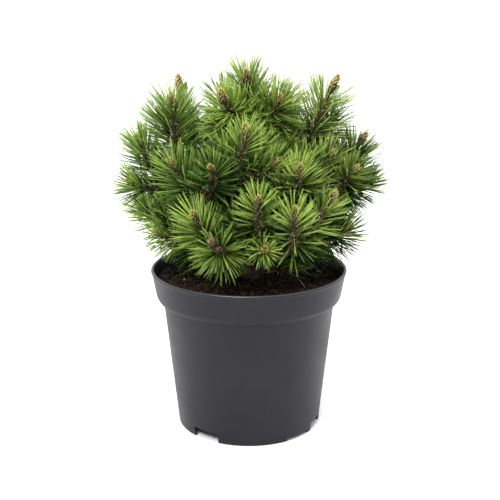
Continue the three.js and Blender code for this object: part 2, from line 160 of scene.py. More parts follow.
class BudSettings(bpy.types.PropertyGroup):
    """The scaly buds at the shoots' ends"""

    radius: length_prop("Radius", "Thickest part of a main bud", 0.0031)
    length: length_prop("Length", "A main bud", 0.0155)
    candle_length: length_prop("Candle length", "A bud that stands over its needles", 0.021)
    scales: count_prop("Scales", "Scales on a main bud", 54)
    colour: colour_prop("Colour", "Scales in the middle of a bud", 0.285, 0.205, 0.052)
    foot_colour: colour_prop("Foot colour", "Scales at the foot of a bud", 0.055, 0.034, 0.020)
    fringe_colour: colour_prop("Fringe", "Papery tips of the scales", 0.74, 0.61, 0.27)
    young_colour: colour_prop("Young", "Scales of the greenish buds", 0.290, 0.290, 0.040)
    young_fringe_colour: colour_prop("Young fringe", "Tips of their scales", 0.66, 0.61, 0.17)


class StageSettings(bpy.types.PropertyGroup):
    """Floor, light and camera"""

    distance: length_prop("Distance", "Camera in front of the pot's axis", 0.920)
    height: length_prop("Height", "Camera over the ground", 0.427)
    aside: length_prop("Aside", "Camera to the right of the pot's axis", 0.0011)
    tilt: angle_prop("Tilt", "Camera below the horizon", 15.40)
    lens: bpy.props.FloatProperty(
        name="Lens", description="Focal length on a 36 mm sensor", default=71.0, unit="CAMERA"
    )
    floor_colour: colour_prop("Floor", "Plain floor", 0.93, 0.93, 0.93)


# ---------------------------------------------------------------- the crown

# A bough leaves the trunk at height `from` and ends at its fork: (bearing, reach, height), in degrees
# round the pot's axis and millimetres. Each shoot is (bearing, reach, height, lean, size): its bud's tip,
# the tip's angle from upright, and a share of the full needles. "bare" numbers the shoots whose buds
# stand clear, with the stretch from the bud's tip to the highest needle, and "aim" those whose tips lean
# to another bearing than their own. The mass with no bough goes on from the trunk's tip.
CROWN = (
    {"name": "front_left", "from": 160, "fork": (-110, 58, 184), "bare": {1: 22}, "aim": {1: -135},
     "shoots": ((-120, 98, 231, 33, 0.85), (-107, 111, 211, 40, 0.85))},
    {"name": "front_middle", "from": 171, "fork": (-80, 56, 190),
     "shoots": ((-85, 98, 247, 37, 0.75), (-82, 105, 204, 58, 0.5))},
    {"name": "front_right", "from": 162, "fork": (-55, 62, 186), "bare": {1: 16},
     "shoots": ((-67, 103, 237, 21, 0.78), (-38, 98, 243, 32, 0.72))},
    {"name": "right_low", "from": 166, "fork": (-8, 64, 184),
     "shoots": ((-17, 101, 205, 45, 0.82), (14, 96, 204, 50, 0.72))},
    {"name": "right", "from": 184, "fork": (2, 76, 222), "bare": {0: 20},
     "shoots": ((0, 110, 288, 32, 0.88), (2, 120, 246, 40, 0.76),
                (27, 103, 266, 32, 0.85), (-20, 105, 262, 40, 0.8))},
    {"name": "left_low", "from": 164, "fork": (-162, 64, 188),
     "shoots": ((-156, 96, 202, 54, 0.7), (-170, 108, 227, 44, 0.72), (158, 79, 213, 30, 0.7))},
    {"name": "left", "from": 186, "fork": (-178, 74, 226),
     "shoots": ((-177, 106, 286, 30, 0.8), (-169, 115, 247, 52, 0.82), (158, 107, 260, 35, 0.75))},
    {"name": "centre_left", "from": 192, "fork": (-130, 56, 224),
     "shoots": ((-140, 92, 273, 30, 0.82), (-110, 96, 272, 52, 0.82))},
    {"name": "centre_right", "from": 196, "fork": (-48, 54, 228),
     "shoots": ((-60, 90, 271, 18, 0.76), (-22, 84, 276, 30, 0.8))},
    {"name": "centre", "from": 208, "fork": (-104, 50, 244),
     "shoots": ((-92, 75, 306, 14, 0.65), (-73, 79, 276, 24, 0.82))},
    {"name": "upper_left", "from": 215, "fork": (-170, 60, 256), "bare": {0: 15, 1: 34},
     "shoots": ((-168, 73, 327, 11, 1), (151, 78, 338, 12, 0.56), (178, 86, 310, 30, 0.8))},
    {"name": "upper_right", "from": 224, "fork": (-14, 46, 266), "bare": {0: 28},
     "shoots": ((3, 83, 341, 25, 1), (14, 88, 304, 34, 0.9))},
    {"name": "crown_top", "bare": {0: 11, 1: 24}, "aim": {1: -128},
     "shoots": ((-112, 6, 347, 4, 0.92), (-119, 52, 332, 22, 0.9),
                (-51, 45, 326, 20, 1), (95, 38, 333, 10, 0.8))},
    {"name": "back_right_low", "from": 159, "fork": (44, 60, 186),
     "shoots": ((34, 107, 203, 58, 0.8), (54, 102, 235, 34, 0.85))},
    {"name": "back_middle_low", "from": 170, "fork": (92, 60, 186),
     "shoots": ((74, 110, 201, 60, 0.85), (96, 100, 237, 32, 0.9), (112, 111, 200, 60, 0.85))},
    {"name": "back_left_low", "from": 158, "fork": (140, 60, 188),
     "shoots": ((142, 108, 206, 58, 0.8), (132, 97, 239, 32, 0.85))},
    {"name": "back_right", "from": 194, "fork": (54, 56, 230),
     "shoots": ((42, 97, 283, 24, 0.85), (68, 100, 269, 36, 0.9))},
    {"name": "back_left", "from": 190, "fork": (120, 56, 230),
     "shoots": ((104, 97, 277, 30, 0.9), (134, 97, 285, 24, 0.85))},
    {"name": "back_upper", "from": 226, "fork": (84, 44, 270),
     "shoots": ((50, 62, 317, 14, 0.85), (118, 62, 324, 12, 0.85))},
)
BOUGHS = [order for order, row in enumerate(CROWN) if "from" in row]

TRUNK_LEAN = (0.005, 0.008)  # how far the trunk's tip stands off the pot's axis
BOUGH_BEND = (0.62, 0.32)  # where a bough bends upwards, in shares of its reach and of its rise
BRANCH_AT = 0.12  # share of a mass's first shoot where the others leave it
TURN_OFF = 0.75  # how far those turn at once from its line to their own
SHOOT_CURVE = (0.34, 0.5)  # shares of its span for which a shoot holds its first and its last direction
LOWEST_ZONES = (0.10, 0.04)  # no needles of this year or of last year stand below these shares of a shoot
BARE = 10  # millimetres from the bud's tip down to the highest needle, where the crown has no other
BARE_ANGLE = 0.8  # degrees the upper needles open for every millimetre that a bud stands clearer
CANDLE = 25  # bare stretch from which a bud is a long one
HEART = (0.0, 0.0, 0.228)  # the middle of the space that the side twigs fill, and its half sizes
HEART_REACH = (0.088, 0.088, 0.088)
SIDE_TWIGS = 8  # tries on each main shoot and each bough
ON_SHOOTS, ON_BOUGHS = (0.08, 0.56), (0.30, 0.98)  # the shares of them where side twigs stand
SIDE_LENGTHS = (0.026, 0.044)
TWIGS_APART, TWIG_OVER_SOIL = 0.011, 0.012
# A side twig's size, bud, radius at the foot and radius at the tip, as shares of a main shoot's.
SIDE = {"size": 0.62, "bud_length": 0.55, "bud_radius": 0.6, "foot": 0.5, "tip": 0.65}
SIDE_NEEDLES, SIDE_BARE, SIDE_FRESHER = 0.70, 4, -0.22

CROWN_FOOT, CROWN_RADIUS = 0.18, 0.11
PAINTED_LIGHT_BEARING = math.radians(-112)  # the lamp's side, whose shoots get the most painted light
# How fresh and how lit a shoot's green is: what all have, what its place adds, and what is left to chance.
# Outer shoots are fresher; higher shoots and those on the lamp's side get painted light.
FRESH_AND_PAINTED_LIGHT = {"base": 0.33, "outer": 0.14, "height": 0.40, "painted_light": 0.19, "chance": 0.17}
# Main shoots that are fresher, or deeper, than their place in the crown makes them.
FRESHER = {
    ("centre", 0): 0.10, ("centre", 1): -0.16, ("centre_left", 1): -0.34, ("centre_right", 0): -0.08,
    ("front_left", 0): 0.25, ("front_left", 1): -0.12, ("left_low", 0): 0.12, ("left_low", 1): 0.25,
}
WARM_BEARING = math.radians(-20)  # the side whose needles are more yellow
WARM = {"base": 0.48, "sunward": 0.38, "low": 0.35, "middle_height": 0.45}
WARM_LIMITS = (0.05, 0.95)
BROWN_BUDS = {("front_left", 1)}  # buds that have no papery tips left

FRONT_REACH = 0.1  # shoots that end this far in front of the pot's axis carry the broadest needles
BROAD_WIDTH = (0.95, 1.28)  # share of a needle's width, on the other shoots and on those
BROAD_PAIRS = (1.0, 0.76)  # share of their pairs
FORWARD = np.array((0.0, -3.5, 0.0))  # pull of the plant's front on the side where a shoot shows its stem
FORWARD_REACH = 0.03  # shoots that end further back show it straight outwards
OPEN_SHARE = 0.76  # needles that are missing on that side
SIDE_REACH, SIDE_FADE = 0.105, 0.02  # shoots that end further to the left or right keep all of theirs


def settings(name):
    return getattr(bpy.context.scene, "mugo_" + name)


def lerp(a, b, share):
    return a + (b - a) * share


def unit(vectors):
    """Vectors along the last axis, made one long."""
    vectors = np.asarray(vectors, float)
    return vectors / np.maximum(np.linalg.norm(vectors, axis=-1, keepdims=True), 1e-12)


def place(bearing, reach, height):
    """A point from its bearing in degrees, and its reach and height in millimetres."""
    turn = math.radians(bearing)
    return np.array((reach * math.cos(turn), reach * math.sin(turn), height)) * MM


def leaning(bearing, lean):
    """The direction that leans by so many degrees from upright towards a bearing."""
    return place(bearing, math.sin(math.radians(lean)), math.cos(math.radians(lean))) / MM


class Path:
    """A limb's centre line: even steps along a Bezier curve, each with two directions across it."""

    STEPS = 65
    FINE = 257

    def __init__(self, *controls):
        t = np.linspace(0.0, 1.0, self.FINE)[:, None]
        levels = [np.repeat(np.array(c, float)[None], self.FINE, axis=0) for c in controls]
        while len(levels) > 2:
            levels = [lerp(a, b, t) for a, b in zip(levels, levels[1:])]
        fine = lerp(levels[0], levels[1], t)
        run = np.concatenate(([0.0], np.cumsum(np.linalg.norm(np.diff(fine, axis=0), axis=1))))
        self.length = run[-1]
        self.shares = np.linspace(0.0, 1.0, self.STEPS)
        self.points = self._spread(self.shares, run / run[-1], fine)
        self.tangents = unit(self._spread(self.shares, run / run[-1], levels[1] - levels[0]))
        self.sides = np.empty_like(self.points)
        side = np.array((1.0, 0.0, 0.0))
        if abs(self.tangents[0][0]) > 0.9:
            side = np.array((0.0, 1.0, 0.0))
        for i, tangent in enumerate(self.tangents):
            side = side - tangent * side.dot(tangent)
            side /= math.sqrt(side.dot(side))
            self.sides[i] = side
        self.acrosses = np.cross(self.tangents, self.sides)

    @staticmethod
    def _spread(at, known, values):
        return np.stack([np.interp(at, known, values[:, k]) for k in range(3)], axis=-1)

    def at(self, share):
        return self._spread(share, self.shares, self.points)

    def along(self, share):
        return unit(self._spread(share, self.shares, self.tangents))

    def outward(self, share, turn):
        """The direction across the limb at a turn round it."""
        side = self._spread(share, self.shares, self.sides)
        across = self._spread(share, self.shares, self.acrosses)
        turn = np.asarray(turn)[..., None]
        return unit(side * np.cos(turn) + across * np.sin(turn))


class Shoot:
    """A stem with needles on its upper part and a bud at its end. A leaning shoot's bud is smaller."""

    BUD_DROOP = 0.20
    BUD_SWELL = 0.014  # for every millimetre that the bud stands clearer

    def __init__(self, path, mass, main=False, needle_share=SIDE_NEEDLES, bare=SIDE_BARE,
                 fresher=SIDE_FRESHER, brown=False):
        needles, buds, wood = settings("needles"), settings("buds"), settings("wood")
        part = dict.fromkeys(SIDE, 1.0) if main else SIDE
        self.path, self.mass, self.main, self.needle_share = path, mass, main, needle_share
        self.fresher, self.brown = fresher, brown
        self.size = part["size"]
        self.candle = bare >= CANDLE
        clearer = max(0, bare - BARE)
        small = 1 - self.BUD_DROOP * math.hypot(*path.tangents[-1][:2])
        long = buds.candle_length if self.candle else buds.length
        self.bud_length = long * part["bud_length"] * small
        self.bud_radius = buds.radius * part["bud_radius"] * small * (1 + self.BUD_SWELL * clearer)
        self.base_radius = wood.shoot_radius * part["foot"]
        self.tip_radius = wood.shoot_tip_radius * part["tip"]
        self.closed_angle = needles.closed_angle + math.radians(BARE_ANGLE) * clearer
        self.bud_foot = 1 - self.bud_length / path.length
        self.zone_top = 1 - bare * MM / path.length
        lowest, lowest_old = LOWEST_ZONES
        self.zone_foot = max(lowest, self.zone_top - needles.zone * needle_share / path.length)
        self.old_foot = max(lowest_old, self.zone_foot - needles.old_zone * needle_share / path.length)

    def radius(self, share):
        return lerp(self.base_radius, self.tip_radius, np.clip(share / self.bud_foot, 0, 1))


@functools.lru_cache(maxsize=None)
def trunk_path():
    wood, soil = settings("wood"), settings("soil")
    foot = np.array((0.0, 0.0, soil.top + 0.3 * MM))
    tip = foot + np.array((*TRUNK_LEAN, wood.height))
    return Path(foot, foot + np.array((0.0, 0.0, wood.height / 2)), tip)


@functools.lru_cache(maxsize=None)
def bough_path(order):
    """A bough rises in one sweep: flat out of the trunk, and steeper towards its fork."""
    row, wood = CROWN[order], settings("wood")
    bearing, reach, height = row["fork"]
    start = trunk_path().at((row["from"] * MM - trunk_path().points[0][2]) / wood.height)
    out, up = BOUGH_BEND
    bend = place(bearing, reach * out, lerp(row["from"], height, up))
    return Path(start, bend, place(bearing, reach, height))


def main_shoots(order):
    """The shoots of one mass. The first goes on from its limb's tip, the others branch off it."""
    row, limb = CROWN[order], bough_path(order) if order in BOUGHS else trunk_path()
    along, foot = limb.tangents[-1], limb.points[-1]
    ahead, behind = SHOOT_CURVE
    shoots = []
    for i, (bearing, reach, height, lean, share) in enumerate(row["shoots"]):
        tip = place(bearing, reach, height)
        start = shoots[0].path.at(BRANCH_AT) if i else foot
        span = np.linalg.norm(tip - start)
        leave = unit(lerp(along, unit(tip - start), TURN_OFF if i else 0.0))
        aim = row.get("aim", {}).get(i, bearing)
        path = Path(start, start + leave * span * ahead, tip - leaning(aim, lean) * span * behind, tip)
        who = (row["name"], i)
        bare, fresher = row.get("bare", {}).get(i, BARE), FRESHER.get(who, 0.0)
        shoots.append(Shoot(path, row["name"], True, share, bare, fresher, who in BROWN_BUDS))
    return shoots


def line_pieces(path, count):
    """A limb's centre line as straight pieces: their starts and ends."""
    points = path.at(np.linspace(0.0, 1.0, count + 1))
    return points[:-1], points[1:]


def distances(points, starts, ends):
    """How far each point is from each straight piece."""
    runs = ends - starts
    lengths = np.maximum((runs**2).sum(axis=1), 1e-12)
    offsets = points[:, None, :] - starts[None]
    shares = np.clip((offsets * runs[None]).sum(axis=2) / lengths, 0.0, 1.0)
    return np.linalg.norm(offsets - shares[..., None] * runs[None], axis=2)


def side_shoots(mains, rng):
    """Short twigs in between: off the lower part of the main shoots, and off the boughs."""
    pieces = [line_pieces(shoot.path, 10) for shoot in mains]
    starts, ends = (np.concatenate(points) for points in zip(*pieces))
    owners = np.repeat(np.arange(len(mains)), 10)
    first = {shoot.mass: i for i, shoot in reversed(list(enumerate(mains)))}
    carriers = [(shoot.path, i, shoot.mass, ON_SHOOTS) for i, shoot in enumerate(mains)]
    for order in BOUGHS:
        mass = CROWN[order]["name"]
        carriers.append((bough_path(order), first[mass], mass, ON_BOUGHS))
    found = []
    for path, owner, mass, (low, high) in carriers:
        turn = rng.uniform(0, FULL_TURN)
        for i in range(SIDE_TWIGS):
            turn += GOLDEN_ANGLE
            share = lerp(low, high, (i + rng.uniform(0.1, 0.9)) / SIDE_TWIGS)
            start, along = path.at(share), path.along(share)
            out = path.outward(share, turn)
            size = rng.uniform(*SIDE_LENGTHS)
            leave = unit(along * 0.5 + out * 0.9)
            rise = unit(along * 0.9 + out * 0.55 + np.array((0, 0, 0.5)))
            tip = start + unit(leave + rise) * size
            apart = distances(tip[None], starts, ends)[0]
            nearest = owners[np.argmin(apart)]
            if mains[nearest].mass != mass or apart[owners != owner].min() < TWIGS_APART:
                continue
            depth = (tip - np.array(HEART)) / np.array(HEART_REACH)
            if tip[2] < settings("soil").top + TWIG_OVER_SOIL or depth.dot(depth) > 1:
                continue
            curve = Path(start, start + leave * size * 0.4, tip - rise * size * 0.4, tip)
            found.append(Shoot(curve, mass))
    return found


@functools.lru_cache(maxsize=None)
def all_shoots():
    """Every shoot, with what its place in the crown makes of its needles."""
    mains = [shoot for order in range(len(CROWN)) for shoot in main_shoots(order)]
    rng = np.random.default_rng(SEED)
    shoots = mains + side_shoots(mains, rng)
    low, high = CAD_BOX[0][2] + CROWN_FOOT, CAD_BOX[1][2]
    for shoot in shoots:
        x, y, z = shoot.path.points[-1]
        bearing = math.atan2(y, x)
        height = np.clip((z - low) / (high - low), 0, 1)
        outer = np.clip(math.hypot(x, y) / CROWN_RADIUS, 0, 1)
        painted_light, sunward = math.cos(bearing - PAINTED_LIGHT_BEARING), math.cos(bearing - WARM_BEARING)
        # Painted light: higher shoots, and shoots on the lamp's side, are made lighter.
        fresh = FRESH_AND_PAINTED_LIGHT["base"] + FRESH_AND_PAINTED_LIGHT["outer"] * outer + FRESH_AND_PAINTED_LIGHT["height"] * height + FRESH_AND_PAINTED_LIGHT["painted_light"] * painted_light
        shoot.fresh = fresh + rng.uniform(-FRESH_AND_PAINTED_LIGHT["chance"], FRESH_AND_PAINTED_LIGHT["chance"]) + shoot.fresher
        warm = WARM["base"] + WARM["sunward"] * sunward + WARM["low"] * (WARM["middle_height"] - height)
        shoot.warm = np.clip(warm, *WARM_LIMITS)
        shoot.height = height
        shoot.front = np.clip(-y / FRONT_REACH, 0, 1)
        outwards = unit(np.array((x, y, 0.0)))
        shoot.open_side = unit(outwards + (FORWARD if y < FORWARD_REACH else 0.0))
        shoot.open_share = OPEN_SHARE * np.clip((SIDE_REACH - abs(x)) / SIDE_FADE, 0, 1)
    return shoots


# ---------------------------------------------------------------- materials


def mix(a, b, share):
    return tuple(lerp(x, y, share) for x, y in zip(a, b))


class Shading:
    """The nodes of a material or of the world's air, and short ways to add to them."""

    def __init__(self, owner):
        owner.use_nodes = True
        self.owner, self.tree = owner, owner.node_tree

    def feed(self, node, inputs):
        """Sets a node's inputs to plain values, or links them to other nodes' outputs."""
        for name, value in inputs.items():
            if isinstance(value, bpy.types.NodeSocket):
                self.tree.links.new(value, node.inputs[name])
            else:
                node.inputs[name].default_value = value

    def add(self, kind, output, inputs, **traits):
        """Puts in a node with its traits and inputs, and gives one of its outputs."""
        node = self.tree.nodes.new("ShaderNode" + kind)
        for trait, value in traits.items():
            setattr(node, trait, value)
        self.feed(node, inputs)
        return node.outputs[output]

    def where(self, scale=(1.0, 1.0, 1.0)):
        """Object coordinates, scaled."""
        return self.add("Mapping", "Vector", {"Vector": self.add("TexCoord", "Object", {}), "Scale": scale})

    def noise(self, where, scale, detail=4.0, roughness=0.55):
        return self.add("TexNoise", "Fac", {
            "Vector": where, "Scale": scale, "Detail": detail, "Roughness": roughness,
        })

    def ramp(self, value, *stops):
        """Colours from (position, colour) stops."""
        output = self.add("ValToRGB", "Color", {"Fac": value})
        elements = output.node.color_ramp.elements
        while len(elements) < len(stops):
            elements.new(0.5)
        for element, (position, colour) in zip(elements, stops):
            element.position = position
            element.color = (*colour, 1.0)
        return output

    def remap(self, value, low, high, from_low=0.3, from_high=0.7):
        return self.add("MapRange", "Result", {
            "Value": value, "From Min": from_low, "From Max": from_high, "To Min": low, "To Max": high,
        })

    def blend(self, share, under, over, way="MIX"):
        """One colour over another."""
        return self.add("Mix", 2, {0: share, 6: under, 7: over}, data_type="RGBA", blend_type=way)

    def bump(self, height, strength, distance, **under):
        """Bumps from a height, on top of other bumps where Normal is given."""
        return self.add("Bump", "Normal", {
            "Height": height, "Strength": strength, "Distance": distance, **under,
        })

    def done(self, **inputs):
        """The material, once its shader has its inputs, whose names here have _ for a space."""
        named = {name.replace("_", " "): value for name, value in inputs.items()}
        self.feed(self.tree.nodes["Principled BSDF"], named)
        return self.owner


def pot_plastic():
    """Moulded plastic: faintly cloudy, with dusty scuffs and a fine grain."""
    pot, shade = settings("pot"), Shading(bpy.data.materials.new("pot_plastic"))
    where = shade.where()
    cloud = shade.noise(where, 22.0, 5.0)
    grain = shade.noise(where, 900.0, 2.0)
    dust = shade.noise(shade.where((1.0, 1.0, 0.25)), 160.0, 6.0, 0.7)
    dark, light = mix(pot.colour, BLACK, 0.10), mix(pot.colour, pot.worn_and_lip_highlight_colour, 0.10)
    clouded = shade.ramp(cloud, (0.30, dark), (0.72, light))
    scuffs = shade.ramp(dust, (0.62, BLACK), (0.80, WHITE))
    faint_scuffs = shade.add("Math", 0, {0: scuffs, 1: 0.16}, operation="MULTIPLY")
    return shade.done(
        Base_Color=shade.blend(faint_scuffs, clouded, (*pot.worn_and_lip_highlight_colour, 1.0)),
        Roughness=shade.remap(cloud, 0.40, 0.54),
        Specular_IOR_Level=0.25,
        Normal=shade.bump(cloud, 0.05, 0.001, Normal=shade.bump(grain, 0.10, 0.0002)),
    )


def peat(name, dark, light, finer=0.0):
    """Crumbly peat, from dark hollows to lighter, drier lumps."""
    shade = Shading(bpy.data.materials.new(name))
    where = shade.where()
    lumps = shade.noise(where, 140.0 + finer, 8.0, 0.7)
    grain = shade.noise(where, 1400.0, 4.0, 0.7)
    return shade.done(
        Base_Color=shade.ramp(lumps, (0.38, dark), (0.58, mix(dark, light, 0.35)), (0.74, light)),
        Roughness=0.95,
        Specular_IOR_Level=0.2,
        Normal=shade.bump(lumps, 0.5, 0.002, Normal=shade.bump(grain, 0.5, 0.0006)),
    )


def bark(name, dark, light, scale=1.0):
    """Cracked bark plates, longer upwards than across."""
    shade = Shading(bpy.data.materials.new(name))
    where = shade.where((1.0, 1.0, 0.55))
    plates = shade.add(
        "TexVoronoi", "Distance", {"Vector": where, "Scale": 260.0 * scale}, feature="DISTANCE_TO_EDGE"
    )
    grain = shade.noise(where, 700.0 * scale, 6.0, 0.65)
    broad = shade.noise(where, 90.0 * scale, 5.0, 0.6)
    colour = shade.ramp(broad, (0.34, mix(dark, BLACK, 0.35)), (0.52, dark), (0.70, light))
    cracks = shade.ramp(plates, (0.0, (0.25, 0.25, 0.25)), (0.10, WHITE))
    return shade.done(
        Base_Color=shade.blend(1.0, colour, cracks, "MULTIPLY"),
        Roughness=0.86,
        Specular_IOR_Level=0.2,
        Normal=shade.bump(plates, 0.5, 0.0012, Normal=shade.bump(grain, 0.4, 0.0004)),
    )


def plain(name, colour, roughness, spread=0.08, scale=600.0, shine=0.5):
    """A plain base colour, with a finely uneven gloss."""
    shade = Shading(bpy.data.materials.new(name))
    grain = shade.noise(shade.where(), scale, 3.0)
    return shade.done(
        Base_Color=(*colour, 1.0),
        Roughness=shade.remap(grain, roughness - spread, roughness + spread),
        Specular_IOR_Level=shine,
        Normal=shade.bump(grain, 0.15, 0.0002),
    )


# ---------------------------------------------------------------- mesh helpers


def arrays_of(bm):
    """A bmesh's corners and triangles as arrays. The bmesh is used up."""
    bmesh.ops.triangulate(bm, faces=bm.faces[:])
    bm.verts.index_update()
    corners = np.array([v.co for v in bm.verts])
    faces = np.array([[v.index for v in f.verts] for f in bm.faces])
    bm.free()
    return corners, faces


@functools.lru_cache(maxsize=None)
def tube_master(sides, rings, pointed=False):
    """A tube as arrays: each corner's turn and share of the length, its reach, and the faces."""
    bm = bmesh.new()
    bmesh.ops.create_cone(bm, cap_ends=True, segments=sides, radius1=1.0, radius2=1.0, depth=1.0)
    lengthwise = [e for e in bm.edges if abs(e.verts[0].co.z - e.verts[1].co.z) > 0.5]
    bmesh.ops.subdivide_edges(bm, edges=lengthwise, cuts=rings - 1, use_grid_fill=True)
    if pointed:
        top = [v for v in bm.verts if v.co.z > 0.5 - 1e-4]
        bmesh.ops.pointmerge(bm, verts=top, merge_co=(0.0, 0.0, 0.5))
    corners, faces = arrays_of(bm)
    turn = np.arctan2(corners[:, 1], corners[:, 0])
    reach = np.hypot(corners[:, 0], corners[:, 1])
    share = np.clip(corners[:, 2] + 0.5, 0.0, 1.0)
    return turn, share, reach, faces


def bent_tube(path, sides, rings, radius_at, foot=0.0, head=1.0):
    """A tube along a path, from share foot to share head of its length."""
    turn, share, reach, faces = tube_master(sides, rings)
    share = lerp(foot, head, share)
    radius = radius_at(turn, share) * reach
    inside = np.clip(share, 0.0, 1.0)
    points = path.at(inside) + path.outward(inside, turn) * radius[:, None]
    beyond = (share - inside) * path.length
    return points + path.along(inside) * beyond[:, None], faces


def copies(master, starts, directions, flats, lengths, widths, thickness, bends, profile):
    """Many slim copies of a tube master: the corners of all, and their faces."""
    turn, share, reach, faces = master
    wide = np.cos(turn) * reach * profile(share) * 0.5
    deep = np.sin(turn) * reach * profile(share) * 0.5 * thickness
    backs = np.cross(directions, flats)
    points = (
        starts[:, None]
        + directions[:, None] * (lengths[:, None] * share)[..., None]
        + bends[:, None] * (share**2)[None, :, None]
        + flats[:, None] * (widths[:, None] * wide)[..., None]
        + backs[:, None] * (widths[:, None] * deep)[..., None]
    )
    count, corners = len(starts), len(share)
    all_faces = (faces[None] + (np.arange(count) * corners)[:, None, None]).reshape(-1, 3)
    return points.reshape(-1, 3), all_faces


def narrowing(loss):
    """A profile that loses that share of its width from foot to head."""
    return lambda share: 1.0 - loss * share


class Parts:
    """Corners, faces and material numbers of many small meshes, gathered for one piece."""

    def __init__(self):
        self.points, self.faces, self.finishes, self.count = [], [], [], 0

    def add(self, points, faces, finish=0):
        self.points.append(points)
        self.faces.append(faces + self.count)
        self.finishes.append(np.broadcast_to(finish, len(faces)))
        self.count += len(points)

    def piece(self, name, materials):
        points = np.concatenate(self.points).astype(np.float32)
        faces = np.concatenate(self.faces).astype(np.int32)
        finishes = np.concatenate(self.finishes).astype(np.int32)
        mesh = bpy.data.meshes.new(name)
        mesh.vertices.add(len(points))
        mesh.vertices.foreach_set("co", points.ravel())
        mesh.loops.add(faces.size)
        mesh.loops.foreach_set("vertex_index", faces.ravel())
        mesh.polygons.add(len(faces))
        mesh.polygons.foreach_set("loop_start", np.arange(0, faces.size, 3, dtype=np.int32))
        mesh.polygons.foreach_set("material_index", finishes)
        piece = shown(mesh, materials)
        mesh.update(calc_edges=True)
        mesh.validate()
        return piece


def shown(mesh, materials=()):
    """A mesh, lamp or camera as an object in the scene. A mesh gets its materials and smooth faces."""
    for each in materials:
        mesh.materials.append(each)
    if isinstance(mesh, bpy.types.Mesh):
        mesh.polygons.foreach_set("use_smooth", np.ones(len(mesh.polygons), bool))
    piece = bpy.data.objects.new(mesh.name, mesh)
    bpy.context.scene.collection.objects.link(piece)
    return piece


def bmesh_piece(name, bm, materials=()):
    """A shown object from a bmesh, which is used up."""
    bmesh.ops.remove_doubles(bm, verts=bm.verts, dist=1e-6)
    bmesh.ops.recalc_face_normals(bm, faces=bm.faces)
    mesh = bpy.data.meshes.new(name)
    bm.to_mesh(mesh)
    bm.free()
    return shown(mesh, materials)


def finish_piece(piece, slot, *nodes):
    """Ties a piece to the frame's root body, and hides the solids it stands for."""
    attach(piece, "root")
    if nodes:
        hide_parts(*nodes)


def spun(profile, steps, soft_corners=(), soft=0.0):
    """An axis-to-axis profile of (radius, height), with some corners rounded, spun on Z."""
    bm = bmesh.new()
    corners = [bm.verts.new((r, 0.0, z)) for r, z in profile]
    for a, b in zip(corners, corners[1:]):
        bm.edges.new((a, b))
    if soft_corners:
        bmesh.ops.bevel(
            bm, geom=[corners[i] for i in soft_corners], offset=soft, offset_type="OFFSET", segments=4,
            profile=0.5, affect="VERTICES", material=-1,
        )
    bmesh.ops.spin(
        bm, geom=bm.verts[:] + bm.edges[:], cent=(0, 0, 0), axis=UP, angle=FULL_TURN, steps=steps,
        use_merge=True, use_duplicate=False,
    )
    bmesh.ops.remove_doubles(bm, verts=bm.verts, dist=1e-6)
    bmesh.ops.recalc_face_normals(bm, faces=bm.faces)
    return bm


# ---------------------------------------------------------------- pot


# The drain slots' bearings in degrees and heights in millimetres, and the same again half a turn round.
SLOTS = ((-126, 10.3), (-47, 3.0), (-20, 9.0))
FLOOR_THICKNESS = 0.0022
SHARP = math.radians(32)


def inside_radius(height):
    pot = settings("pot")
    return lerp(pot.foot_radius, pot.shoulder_radius, height / (pot.height - pot.band_foot)) - pot.wall


